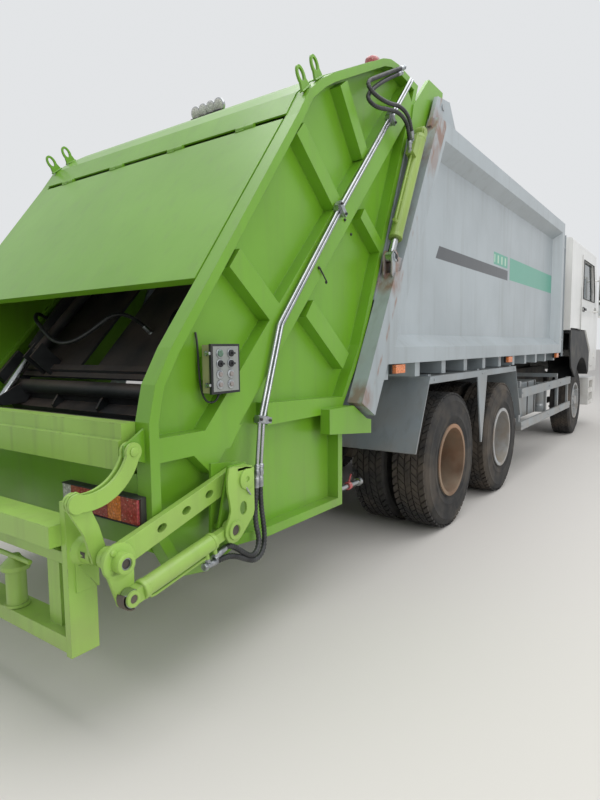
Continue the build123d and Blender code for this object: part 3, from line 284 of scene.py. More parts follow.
class Finish:
    """A material under way, with the colour that is laid on it so far."""

    def __init__(self, name, roughness=0.5, metallic=0.0, paint=None, **sockets):
        """Sockets are the shader's own, by name with underscores; paint is an even colour."""
        self.made = bpy.data.materials.new(name)
        self.made.use_nodes = True
        self.tree = self.made.node_tree
        self.tree.nodes.clear()
        self.surface = self.node("BsdfPrincipled", None, {"Roughness": roughness, "Metallic": metallic})
        for key, value in sockets.items():
            self.surface.inputs[key.replace("_", " ")].default_value = value
        if paint:
            self.surface.inputs["Base Color"].default_value = linear(paint)
        self.paint = self.normal = None
        self.node("OutputMaterial", None, {"Surface": self.surface.outputs[0]})

    def node(self, kind, settings=None, inputs=None):
        return add(self.tree, "ShaderNode" + kind, settings, inputs)

    def place(self, scale=(1, 1, 1)):
        """Object coordinates, stretched."""
        coords = self.node("TexCoord")
        return self.node("Mapping", None, {"Vector": coords.outputs["Object"], "Scale": scale}).outputs[0]

    def parted(self, vector=None):
        """The three parts of a vector, or of the place."""
        return self.node("SeparateXYZ", None, {0: vector or self.place()}).outputs

    def facing(self):
        return self.node("NewGeometry").outputs["Normal"]

    def ramp(self, value, low, high, bottom=0.0, top=1.0):
        """Value stretched between two levels and held past them."""
        return self.node("MapRange", None, {"Value": value, "From Min": low, "From Max": high, "To Min": bottom,
            "To Max": top}).outputs[0]

    def noise(self, scale, detail=4.0, stretch=(1, 1, 1), low=0.35, high=0.65, most=1.0):
        """Noise stretched between two of its levels."""
        cloud = self.node("TexNoise", None, {"Vector": self.place(stretch), "Scale": scale, "Detail": detail})
        return self.ramp(cloud.outputs[0], low, high, 0.0, most)

    def sum(self, operation, first, second):
        return self.node("Math", {"operation": operation}, {0: first, 1: second}).outputs[0]

    def times(self, first, *others):
        for other in others:
            first = self.sum("MULTIPLY", first, other)
        return first

    def span(self, value, low, high, soft=0.004):
        """1 between two values of a coordinate, with soft ends."""
        return self.times(self.ramp(value, low, low + soft), self.ramp(value, high - soft, high, 1.0, 0.0))

    def blend(self, below, above, mask):
        """Colour of one finish over another, where the mask is 1."""
        below, above = (linear(c) if isinstance(c, str) else c for c in (below, above))
        return self.node("Mix", {"data_type": "RGBA"}, {0: mask, 6: below, 7: above}).outputs[2]

    def lay(self, colour, mask, below=None):
        """Lays a colour over the paint, or over a first colour."""
        self.paint = self.blend(below or self.paint, colour, mask)
        self.tree.links.new(self.paint, self.surface.inputs["Base Color"])

    def bump(self, *layers):
        """Relief from (height, strength, distance in metres) layers."""
        for height, strength, distance in layers:
            inputs = {"Height": height, "Strength": strength, "Distance": distance}
            if self.normal:
                inputs["Normal"] = self.normal
            self.normal = self.node("Bump", None, inputs).outputs[0]
        self.tree.links.new(self.normal, self.surface.inputs["Normal"])

    def edges(self, radius):
        """Mask of the edges, which it also rounds in the relief."""
        self.normal = self.node("Bevel", {"samples": 4}, {"Radius": radius}).outputs[0]
        along = self.node("VectorMath", {"operation": "DOT_PRODUCT"}, {0: self.normal, 1: self.facing()})
        return self.ramp(along.outputs["Value"], 0.985, 0.9)


def enamel(name, colour, roughness=0.38, tone=0.07, grime=0.35, dust=0.5, chips=0.3, bare="6E6A62", coat=0.15,
           dust_top=1.25):
    """Sprayed enamel that has stood outdoors: uneven tone, rain streaks, road dust low down and worn edges."""
    made = Finish(name, roughness, Coat_Weight=coat, Coat_Roughness=0.25)
    base = linear(colour)[:3]
    pale = tuple(min(1.0, c * (1 + tone) + 0.006) for c in base) + (1.0,)
    deep = tuple(c * (1 - 1.6 * tone) for c in base) + (1.0,)
    made.lay(pale, made.noise(1.7, 5.0), deep)
    made.lay("5A5648", made.noise(2.2, 5.0, (7, 7, 0.45), 0.52, 0.8, grime))
    low = made.ramp(made.parted()[2], dust_top, 0.3, 0.0, dust)
    made.lay("8C7C68", made.times(low, made.noise(4.0, 6.0, low=0.38, high=0.7)))
    top = made.ramp(made.parted(made.facing())[2], 0.5, 1.0, 0.0, 0.35 * dust)
    made.lay("A09684", made.times(top, made.noise(6.0, 5.0, low=0.3, high=0.6)))
    made.lay(bare, made.times(made.edges(0.004), made.noise(30.0, 3.0, low=0.56, high=0.66, most=chips)))
    made.bump((made.noise(5.0, 2.0), 0.15, 0.004), (made.noise(260.0, 2.0), 0.08, 0.0006))
    return made


def moulded(name, colour, roughness):
    """Moulded plastic: even colour, fine spark-eroded grain, dust in the grain."""
    made = Finish(name, roughness)
    made.lay("7A7468", made.noise(5.0, 5.0, low=0.5, high=0.8, most=0.35), colour)
    # Grain is near 0.5 mm in life, drawn at 2 mm so that it shows
    made.bump((made.noise(500.0, 2.0), 0.12, 0.0005))
    return made


def lens(name, colour):
    """Moulded lens over a prismatic back, a grid of prisms near 11 mm, with dust and fine scratches."""
    made = Finish(name, 0.25, Coat_Weight=0.3, Coat_Roughness=0.2)
    cells = made.node("TexVoronoi", {"feature": "F1"}, {"Vector": made.place(), "Scale": 90.0})
    shade = made.ramp(cells.outputs[0], 0.1, 0.7)
    base = linear(colour)[:3]
    made.lay(tuple(c * 0.7 for c in base) + (1.0,), shade, tuple(min(1.0, c * 1.3 + 0.04) for c in base) + (1.0,))
    made.lay("A89C90", made.noise(7.0, 5.0, low=0.3, high=0.9, most=0.4))
    made.lay("D8D0C8", made.noise(60.0, 2.0, (0.3, 1, 2), 0.66, 0.7, 0.5))
    made.bump((shade, 0.4, 0.002))
    return made


def tyre_rubber():
    """Vulcanised carbon-black rubber: matt, grey with dust low on the tread and in its grooves."""
    made = Finish("Carbon-black tyre rubber", 0.82)
    made.lay("34322F", made.noise(9.0, 5.0), "1E1E1F")
    made.lay("6E6254", made.noise(3.0, 7.0, low=0.47, high=0.74, most=0.6))
    made.bump((made.noise(30.0), 0.2, 0.002), (made.noise(260.0, 2.0), 0.2, 0.0006))
    return made


def hose_rubber():
    """Hydraulic hose cover: black synthetic rubber, faintly shiny."""
    made = Finish("Hydraulic hose rubber", 0.45)
    made.lay("3A3C3C", made.noise(14.0), "141618")
    return made


def zinc_plate():
    """Galvanised and passivated fasteners: pale, slightly blue, with a fine grain."""
    made = Finish("Zinc-plated steel", 0.4, 1.0)
    made.lay("B8BCBE", made.noise(40.0), "8E9296")
    return made


def chromed_rod():
    """Honed chrome of ram rods and drawn steel pipe: bright, with faint lengthwise drawing marks."""
    made = Finish("Chromed steel rod", 0.24, 1.0)
    made.lay("B6B8B8", made.noise(12.0), "A2A6A8")
    made.bump((made.noise(8.0, 2.0, (4, 4, 0.6)), 0.04, 0.001))
    return made


def woven():
    """Seat cloth: a plain weave near 1 mm, drawn at 4 mm so that it shows through the glass."""
    made = Finish("Woven seat cloth", 0.9, Sheen_Weight=0.3)
    weave = made.node("TexChecker", None, {"Vector": made.place(), "Scale": 250.0}).outputs[1]
    made.lay("464A50", weave, "34383C")
    made.bump((weave, 0.3, 0.001))
    return made


def scoured_steel():
    """Wear plates of the packer: dark painted steel rubbed by waste, with brown dust where it settles."""
    made = Finish("Scoured wear plate", 0.55, 0.35)
    made.lay("3C4042", made.noise(2.5, 6.0, (1, 0.5, 3)), "1E2224")
    settled = made.ramp(made.parted(made.facing())[2], 0.1, 0.8, 0.05, 0.85)
    made.lay("6E625A", made.times(settled, made.noise(2.2, 6.0, low=0.35, high=0.62)))
    made.lay("7A5A44", made.times(made.edges(0.005), made.noise(18.0, low=0.5, high=0.6, most=0.7)))
    made.bump((made.noise(16.0, 5.0), 0.25, 0.004))
    return made


# Centre and radius of the hopper's trough; what lies nearer to its axis is inside
TROUGH = (-2.300, 1.200)
TROUGH_RADIUS = 0.6195


def hopper_finish(colour):
    """Hopper plate: enamel outside, and inside bare steel that waste has blackened."""
    made = enamel("Hopper enamel and bare steel", colour, dust=0.4, chips=0.9, bare="50342A", coat=0.2)
    coords = made.parted()
    middle = at(TROUGH[0], 0, TROUGH[1])
    off = made.node("CombineXYZ", None, {0: made.sum("SUBTRACT", coords[0], middle.x),
        1: made.sum("SUBTRACT", coords[2], middle.z)})
    radius = made.node("VectorMath", {"operation": "LENGTH"}, {0: off.outputs[0]}).outputs["Value"]
    dark = made.blend("1C1E1E", "54483C", made.noise(3.0, 6.0, low=0.4, high=0.7))
    made.lay(dark, made.ramp(radius, TROUGH_RADIUS + 0.0007, TROUGH_RADIUS - 0.0007))
    return made


def banded_silver(colours):
    """Body enamel with a dark strip of painted shade under the roof's overhang, and the green side bands, laid by
    place on both sides.
    """
    made = enamel("Silver body enamel", colours.silver, roughness=0.34, tone=0.05, grime=0.22, dust=0.3, chips=0.2,
        coat=0.25)
    x, _, z = made.parted()
    slanted = made.sum("SUBTRACT", x, made.times(z, 0.706))
    # Dark strip of painted shade where the roof's overhang shades the upper slope of the body
    made.lay("34383C", made.times(made.span(slanted, AXLE - 0.188 - 2.086 * 0.706, 60.0), made.span(z, 2.088, 2.19),
        made.span(x, -60.0, AXLE + 1.73)))
    for start, end, low, high in ((1.25, 1.72, 2.205, 2.325), (1.80, 3.76, 2.10, 2.33)):
        made.lay(colours.band, made.times(made.span(x, AXLE + start, AXLE + end), made.span(z, low, high)))
    bars = made.span(made.sum("PINGPONG", x, 0.06), 0.035, 0.2)
    made.lay("A8C8B0", made.times(bars, made.span(x, AXLE + 1.27, AXLE + 1.70), made.span(z, 2.225, 2.305)))
    return made


# Rust on the posts: place, reach and strength of each patch
RUST = ((-1.055, 1.985, 0.10, 1.0), (-1.10, 1.86, 0.14, 0.75), (-0.36, 2.93, 0.20, 0.8), (-0.50, 2.72, 0.16, 0.45),
        (-1.47, 1.14, 0.13, 0.6))


def rusty_silver(colours):
    """Post enamel with rust that runs down from the hinge and the lower corner."""
    made = enamel("Silver post enamel", colours.silver, roughness=0.36, tone=0.05, grime=0.3, dust=0.4, chips=0.6,
        bare="7A4A30")
    x, y, z = made.parted()
    # Distance across the post, behind its front edge
    across = made.sum("SUBTRACT", x, made.times(z, 0.5452))
    near = made.span(across, AXLE - 2.02, AXLE - 1.98, 0.02)
    near = made.sum("MAXIMUM", near, made.times(made.noise(2.4, 6.0, (5, 5, 0.7), 0.5, 0.68), 0.22))
    made.lay("84552E", made.times(near, made.noise(9.0, 6.0, (2, 2, 0.6), 0.48, 0.62, 0.8)))
    side = made.node("Math", {"operation": "ABSOLUTE"}, {0: y}).outputs[0]
    here = made.node("CombineXYZ", None, {0: x, 1: side, 2: z}).outputs[0]
    for ahead, height, reach, most in RUST:
        far = made.node("VectorMath", {"operation": "DISTANCE"}, {0: here, 1: at(ahead, 1.22, height)})
        spot = made.ramp(far.outputs["Value"], reach, reach * 0.45, 0.0, most)
        made.lay("7A4A24", made.times(spot, made.noise(14.0, 6.0, (1, 1, 0.5), 0.36, 0.56)))
    return made


finishes = {}


def make_finishes(colours):
    """Every finish of the truck, by its plain name."""
    made = {
        # Polyurethane enamel, sprayed: lime green with a soft gloss, newer on the tailgate and chalked elsewhere
        "green": enamel("Lime enamel on steel", colours.green, grime=0.16, dust=0.25, tone=0.05, chips=0.55, coat=0.3),
        "faded": enamel("Chalked lime enamel", colours.faded, grime=0.2, dust=0.3, tone=0.06, chips=0.8),
        "olive": enamel("Olive ram enamel", colours.ram, grime=0.3, dust=0.3, tone=0.08, chips=0.7),
        "hopper": hopper_finish(colours.faded),
        "silver": banded_silver(colours),
        "post": rusty_silver(colours),
        "grey": enamel("Grey enamel on steel", colours.grey, grime=0.3, dust=0.7, dust_top=1.4),
        "white": enamel("White cab enamel", colours.white, roughness=0.28, tone=0.03, grime=0.18, chips=0.1,
                        coat=0.5, dust_top=1.5),
        # Chassis black: matt paint under a coat of road dust
        "chassis": enamel("Chassis black on steel", "26282A", roughness=0.6, grime=0.3, dust=0.75, chips=0.4,
                          bare="6A4632", coat=0.0, dust_top=1.3),
        "packer": scoured_steel(),
        "rim": enamel("Silver wheel paint", "A8ACAE", roughness=0.5, grime=0.5, dust=0.9, chips=0.9, bare="6A4028",
                      coat=0.0, dust_top=1.6),
        "rusty_rim": enamel("Rusted wheel steel", "8A6A52", roughness=0.75, tone=0.3, grime=0.7, dust=0.9, chips=0.9,
                            bare="5A3420", coat=0.0, dust_top=1.6),
        "beige": enamel("Beige enamel plate", "A09C78", grime=0.3, dust=0.2),
        "rubber": tyre_rubber(),
        "hose": hose_rubber(),
        "zinc": zinc_plate(),
        "chrome": chromed_rod(),
        "black_plastic": moulded("Black polypropylene, moulded", "1C1E20", 0.55),
        "grey_plastic": moulded("Grey ABS, moulded", "8A8E8A", 0.45),
        "pale_plastic": moulded("Pale push-button plastic", "8C8480", 0.4),
        "red_lens": lens("Red polycarbonate lens", "A82430"),
        "orange_lens": lens("Amber polycarbonate lens", "E8740C"),
        "clear_lens": lens("Clear polycarbonate lens", "C8C8C4"),
        "green_lens": lens("Green indicator lens", "1E6A50"),
        # Tempered glass, a little tinted
        "glass": Finish("Tinted safety glass", 0.05, paint="5C6E70", Transmission_Weight=0.9, IOR=1.5),
        "mirror": Finish("Mirror glass", 0.03, 1.0, "C8CCCE"),
        "fabric": woven(),
    }
    finishes.update((name, finish.made) for name, finish in made.items())


# Sizes and colours that a user would change

class TruckColours(bpy.types.PropertyGroup):
    green: bpy.props.StringProperty(name="Tailgate green", description="sRGB hex of the tailgate", default="6A9F1C")
    faded: bpy.props.StringProperty(name="Lifter green", description="sRGB hex of the bin lifter", default="94BC50")
    ram: bpy.props.StringProperty(name="Ram green", description="sRGB hex of the lifting rams", default="8CA64C")
    silver: bpy.props.StringProperty(name="Body silver", description="sRGB hex of the load body", default="9DA6AA")
    grey: bpy.props.StringProperty(name="Fender grey", description="sRGB hex of fenders and guards", default="868E92")
    white: bpy.props.StringProperty(name="Cab white", description="sRGB hex of the cab", default="E4E4E0")
    band: bpy.props.StringProperty(name="Side band green", description="sRGB hex of the side band", default="4C9C84")


class TruckSizes(bpy.types.PropertyGroup):
    tread_pitches: bpy.props.IntProperty(name="Tread pitches", description="Blocks round one tyre", default=56)
    wheel_nuts: bpy.props.IntProperty(name="Wheel nuts", description="Nuts that hold one wheel", default=10)
    nut_circle: bpy.props.FloatProperty(name="Nut circle", description="Radius of the nut circle", default=0.1675,
                                        unit="LENGTH")
    hose: bpy.props.FloatProperty(name="Hose", description="Outside diameter of the ram hoses", default=0.026,
                                  unit="LENGTH")
    hose_ridge: bpy.props.FloatProperty(name="Guard pitch", description="Pitch of the spiral guard on the hoses",
                                        default=0.016, unit="LENGTH")


def register():
    for item in CLASSES:
        bpy.utils.register_class(item)
    bpy.types.Scene.truck_colours = bpy.props.PointerProperty(type=TruckColours)
    bpy.types.Scene.truck_sizes = bpy.props.PointerProperty(type=TruckSizes)


def unregister():
    del bpy.types.Scene.truck_sizes
    del bpy.types.Scene.truck_colours
    for item in reversed(CLASSES):
        bpy.utils.unregister_class(item)


# Camera, floor and lamps

class TRUCK_OT_stage(bpy.types.Operator):
    """Camera at the photograph's place, pale floor and soft studio light"""
    bl_idname = "truck.stage"
    bl_label = "Stage"

    def execute(self, context):
        scene = context.scene
        yaw, pitch, roll = math.radians(35.472), math.radians(5.398), math.radians(0.566)
        ahead = Vector((math.cos(yaw) * math.cos(pitch), math.sin(yaw) * math.cos(pitch), -math.sin(pitch)))
        right = Vector((math.sin(yaw), -math.cos(yaw), 0))
        down = ahead.cross(right)
        level, tilt = math.cos(roll), math.sin(roll)
        axes = Matrix((level * right + tilt * down, tilt * right - level * down, -ahead)).transposed()
        lens_data = bpy.data.cameras.new("Camera")
        lens_data.lens = 25.41
        lens_data.sensor_width = 36.0
        lens_data.clip_end = 500.0
        camera = bpy.data.objects.new("Camera", lens_data)
        camera.matrix_world = Matrix.Translation(at(-4.2893, -2.806, 1.4382)) @ axes.to_4x4()
        scene.collection.objects.link(camera)
        scene.camera = camera
        scene.view_settings.view_transform = "Standard"

        floor = Shape()
        floor.face([floor.mesh.verts.new((x, y, 0)) for x, y in ((-150, -150), (150, -150), (150, 150), (-150, 150))])
        raw_object("floor", floor, [Finish("Pale floor", 0.9, 0.0, "D8D4CE").made])

        world = bpy.data.worlds.new("Studio")
        world.use_nodes = True
        tree = world.node_tree
        tree.nodes.clear()
        light = add(tree, "ShaderNodeLightPath")
        shiny = add(tree, "ShaderNodeMath", {"operation": "MAXIMUM"}, {0: light.outputs["Is Transmission Ray"],
            1: light.outputs["Is Glossy Ray"]})
        seen = add(tree, "ShaderNodeMath", {"operation": "MAXIMUM"}, {0: light.outputs["Is Camera Ray"],
            1: shiny.outputs[0]})
        lit = add(tree, "ShaderNodeBackground", None, {"Color": linear("F2F5FA"), "Strength": 0.62})
        plain = add(tree, "ShaderNodeBackground", None, {"Color": linear("E8EAEC"), "Strength": 0.95})
        both = add(tree, "ShaderNodeMixShader", None, {0: seen.outputs[0], 1: lit.outputs[0], 2: plain.outputs[0]})
        add(tree, "ShaderNodeOutputWorld", None, {"Surface": both.outputs[0]})
        scene.world = world

        for name, where, target, size, power in (
                ("Sky panel", (1.0, -1.0, 11.0), (1.0, 0.0, 1.0), 14.0, 1150.0),
                ("Side panel", (-4.0, -12.0, 5.0), (0.0, 0.0, 1.5), 7.0, 420.0)):
            data = bpy.data.lights.new(name, "AREA")
            data.shape = "SQUARE"
            data.size = size
            data.energy = power
            lamp = bpy.data.objects.new(name, data)
            start, end = at(*where), at(*target)
            lamp.matrix_world = Matrix.Translation(start) @ (start - end).to_track_quat("Z", "Y").to_matrix().to_4x4()
            scene.collection.objects.link(lamp)
        return {"FINISHED"}


class TRUCK_OT_finishes(bpy.types.Operator):
    """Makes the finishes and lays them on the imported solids"""
    bl_idname = "truck.finishes"
    bl_label = "Finishes"

    def execute(self, context):
        make_finishes(context.scene.truck_colours)
        by_slot = {"green_paint": "green", "silver_paint": "silver", "grey_paint": "grey", "white_paint": "white",
            "chassis_black": "chassis", "rim_silver": "rim", "tyre": "rubber", "glass": "glass",
            "black_plastic": "black_plastic", "orange_lens": "orange_lens", "red_lens": "red_lens",
            "polished_steel": "chrome", "seat_fabric": "fabric"}
        own = {"hopper": "hopper", "rear_frame": "post", "packer_carriage": "packer", "packer_blade": "packer",
            "rims_rear_right": "rusty_rim", "ejector": "silver", "lifter_arms": "faded", "lifter_links": "faded",
            "lifter_barrels": "faded", "lift_barrels": "olive"}
        for row in frame["record"]["subparts"]:
            name = row["node"]
            finish = finishes[own.get(name, by_slot[row["material_slot"]])]
            data = nodes[name].data
            data.materials.clear()
            data.materials.append(finish)
        return {"FINISHED"}


# Running gear

RADIUS = 0.535
CARCASS = [(-0.118, 0.2715), (-0.131, 0.279), (-0.137, 0.287), (-0.140, 0.296), (-0.1335, 0.300), (-0.137, 0.318),
           (-0.1435, 0.345), (-0.1445, 0.348), (-0.1445, 0.354), (-0.1432, 0.356), (-0.1450, 0.392),
           (-0.1448, 0.430), (-0.1425, 0.462), (-0.1440, 0.465), (-0.1440, 0.470), (-0.1405, 0.473),
           (-0.1350, 0.497), (-0.1260, 0.512), (-0.1080, 0.5205), (0.0, 0.5215)]
RIBS = ((-0.124, -0.083), (-0.071, -0.029), (-0.019, 0.019), (0.029, 0.071), (0.083, 0.124))


def tyre(name, places, axle_x, body, node, pitches):
    """Tyres of one hub: a carcass with raised sidewall rings, and rows of tread blocks."""
    ring = CARCASS + [(-y, r) for y, r in reversed(CARCASS[:-1])]
    whole, block = Shape(), Shape()
    for y in places:
        whole.turned(at(axle_x, y, RADIUS), (0, 1, 0), ring, 96, loop=True)
        for k, (low, high) in enumerate(RIBS):
            outer = k in (0, 4)
            span_angle = TURN / pitches * (0.74 if outer else 0.86)
            skew = 0.3 * TURN / pitches * (1 if k % 2 else -1)
            shift = 0.5 * TURN / pitches * (k % 2)
            rows = []
            for r in (0.519, 0.533 if outer else 0.5345):
                rows.append([at(axle_x + r * math.sin(a), y + across, RADIUS + r * math.cos(a))
                    for across, a in ((low, shift - skew), (high, shift + skew), (high, shift + skew + span_angle),
                    (low, shift - skew + span_angle))])
            block.skin(rows)
    tread = repeated(block, finishes["rubber"], pitches, at(axle_x, 0, RADIUS))
    whole.mesh.from_mesh(tread)
    made = piece(name, whole, "rubber", body, smooth=42)
    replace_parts(made, node)


class TRUCK_OT_tyres(bpy.types.Operator):
    """Treaded tyres in place of the plain ones"""
    bl_idname = "truck.tyres"
    bl_label = "Tyres"

    def execute(self, context):
        pitches = context.scene.truck_sizes.tread_pitches
        for side, hand in SIDES:
            tyre("front_tread_" + side, [hand * 1.011], FRONT_AXLE, "wheel_front_" + side, "tyre_front_" + side,
                pitches)
            for row, x in (("middle", MIDDLE_AXLE), ("rear", 0.0)):
                tyre(row + "_treads_" + side, [hand * 0.745, hand * 1.085], x, "wheels_%s_%s" % (row, side),
                    "tyres_%s_%s" % (row, side), pitches)
        return {"FINISHED"}


class TRUCK_OT_hubs(bpy.types.Operator):
    """Wheel nuts, hub bolts and valves"""
    bl_idname = "truck.hubs"
    bl_label = "Hubs"

    def execute(self, context):
        sizes = context.scene.truck_sizes
        # Row, axle, faces of the rim and of the hub, and radius of the hub's bolt circle
        wheels = [("front", FRONT_AXLE, 1.096, 1.130, 0.092), ("middle", MIDDLE_AXLE, 0.935, 1.020, 0.094),
            ("rear", 0.0, 0.935, 1.020, 0.094)]
        for side, hand in SIDES:
            for row, x, face, hub_face, hub_circle in wheels:
                body = ("wheel_front_" if row == "front" else "wheels_%s_" % row) + side
                whole, nut, bolt = Shape(), Shape(), Shape()
                middle = at(x, 0, RADIUS)
                out = (0, hand, 0)
                nut.nut(at(x, hand * face, RADIUS + sizes.nut_circle), out, 0.019, 0.026)
                whole.mesh.from_mesh(repeated(nut, finishes["zinc"], sizes.wheel_nuts, middle))
                bolt.nut(at(x, hand * hub_face, RADIUS + hub_circle), out, 0.0095, 0.010)
                whole.mesh.from_mesh(repeated(bolt, finishes["zinc"], 8, middle))
                whole.bar(at(x + 0.150, hand * (face + 0.02), RADIUS + 0.150), at(x + 0.172, hand * (face + 0.075),
                    RADIUS + 0.172), 0.006, 8)
                piece("hub_%s_%s" % (row, side), whole, "zinc", body)
        return {"FINISHED"}


# Routes of cords

def route(points):
    """Points along the NURBS spline of a hose's route, and its length."""
    data = bpy.data.curves.new("route", "CURVE")
    data.dimensions = "3D"
    data.resolution_u = 30
    spline = data.splines.new("NURBS")
    spline.points.add(len(points) - 1)
    for knot, p in zip(spline.points, points):
        knot.co = (*at(*p), 1.0)
    spline.order_u = 3
    spline.use_endpoint_u = True
    holder = bpy.data.objects.new("route", data)
    bpy.context.scene.collection.objects.link(holder)
    mesh = bpy.data.meshes.new_from_object(holder)
    line = [v.co.copy() for v in mesh.vertices]
    bpy.data.objects.remove(holder)
    return line, sum((b - a).length for a, b in zip(line, line[1:]))


def even(line, step):
    """The same line in even steps, for the spiral guard's turns."""
    runs = [0.0]
    for a, b in zip(line, line[1:]):
        runs.append(runs[-1] + (b - a).length)
    count = max(2, round(runs[-1] / step))
    points, k = [], 0
    for i in range(count + 1):
        want = runs[-1] * i / count
        while k < len(runs) - 2 and runs[k + 1] < want:
            k += 1
        points.append(line[k].lerp(line[k + 1], (want - runs[k]) / (runs[k + 1] - runs[k])))
    return points


# Lamps

def bolts(shape, places, axis, radius=0.009, height=0.008):
    """Bolt heads with their ends, at points of the truck."""
    for x, y, z in places:
        shape.nut(at(x, y, z), axis, radius, height)


class TRUCK_OT_lamps(bpy.types.Operator):
    """Tail lamps, side markers, headlamps, beacon and the roof lamps of the tailgate"""
    bl_idname = "truck.lamps"
    bl_label = "Lamps"

    def execute(self, context):
        looks = "black_plastic clear_lens red_lens orange_lens chrome green"
        tails = Shape()
        for hand in (1, -1):
            span_y = (hand * 0.606, hand * 1.108)
            tails.of(0).box((-2.944, -2.911), span_y, (0.764, 0.876))
            for low, high in ((0.764, 0.769), (0.871, 0.876)):
                tails.box((-2.958, -2.942), span_y, (low, high))
            start = 0.609
            for width, look in ((0.058, 1), (0.122, 2), (0.122, 2), (0.084, 3), (0.098, 2)):
                tails.of(look).box((-2.955, -2.942), sorted((hand * start, hand * (start + width))), (0.770, 0.870))
                start += width + 0.001
            # Bracket from the trough to the lamp, and the skirt under the loading lip
            tails.of(5).box((-2.912, -2.906), span_y, (0.772, 0.955))
            tails.plate([(-2.906, 0.955), (-2.885, 0.642), (-2.600, 0.482), (-2.600, 0.955)], hand * 1.054 + 0.004,
                0.008)
            if hand == 1:
                tails.plate([(-2.906, 0.955), (-2.902, 0.955), (-2.881, 0.645), (-2.600, 0.487), (-2.600, 0.482),
                    (-2.885, 0.642)], 1.050, 2.100)
            for y in (0.640, 0.860, 1.060):
                tails.plate([(-2.907, 0.776), (-2.776, 0.800), (-2.836, 0.868), (-2.907, 0.868)], hand * y + 0.004,
                    0.008)
        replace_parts(piece("tail_lamp_lenses", tails, looks, "tailgate", bevel=0.0015), "tail_lamps")

        marks = Shape()
        for hand in (1, -1):
            for x in MARKERS:
                marks.of(0).box((x - 0.075, x + 0.075), (hand * 1.195, hand * 1.216), (1.258, 1.324))
                marks.of(3).box((x - 0.068, x + 0.068), (hand * 1.215, hand * 1.243), (1.263, 1.319))
            marks.of(0).box((7.135, 7.160), (hand * 0.822, hand * 1.158), (0.692, 0.818))
            marks.of(1).box((7.160, 7.174), (hand * 0.826, hand * 1.154), (0.696, 0.814))
            marks.slot = 4
            for y in (0.905, 1.055):
                marks.dome(at(7.150, hand * y, 0.755), (1, 0, 0), 0.050, 0.012, 24)
        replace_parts(piece("marker_and_head_lamps", marks, looks, "truck", bevel=0.003), "lamps")

        beacon = Shape()
        beacon.of(0).turned(at(-0.960, -1.020, 3.140), (0, 0, 1), [
            (0, 0.040), (0.030, 0.044), (0.034, 0.054), (0.048, 0.054), (0.052, 0.042)], 28)
        beacon.of(2).turned(at(-0.960, -1.020, 3.190), (0, 0, 1), [
            (0, 0.044), (0.010, 0.049), (0.044, 0.046), (0.056, 0.036), (0.063, 0.014)], 28)
        piece("beacon", beacon, looks, "tailgate", smooth=50)

        roof = Shape()
        for k in range(4):
            foot = at(-1.262 + 0.004 * k, 0.012 + 0.078 * k, 3.060)
            middle_x = foot.x - AXLE
            roof.of(0).box((middle_x - 0.034, middle_x + 0.034), (foot.y - 0.030, foot.y + 0.030), (3.058, 3.074))
            roof.of(4).turned(foot + Vector((-0.018, 0, 0.052)), (1, 0, 0.25), [
                (0, 0.034), (0.006, 0.046), (0.020, 0.047), (0.038, 0.036), (0.046, 0.018), (0.048, 0.002)], 24)
            roof.of(1).turned(foot + Vector((-0.016, 0, 0.0525)), (-1, 0, -0.25), [
                (0, 0.040), (0.005, 0.034), (0.008, 0.004)], 24)
        piece("work_lamps", roof, looks, "tailgate", smooth=50)
        return {"FINISHED"}


# Controls beside the hopper

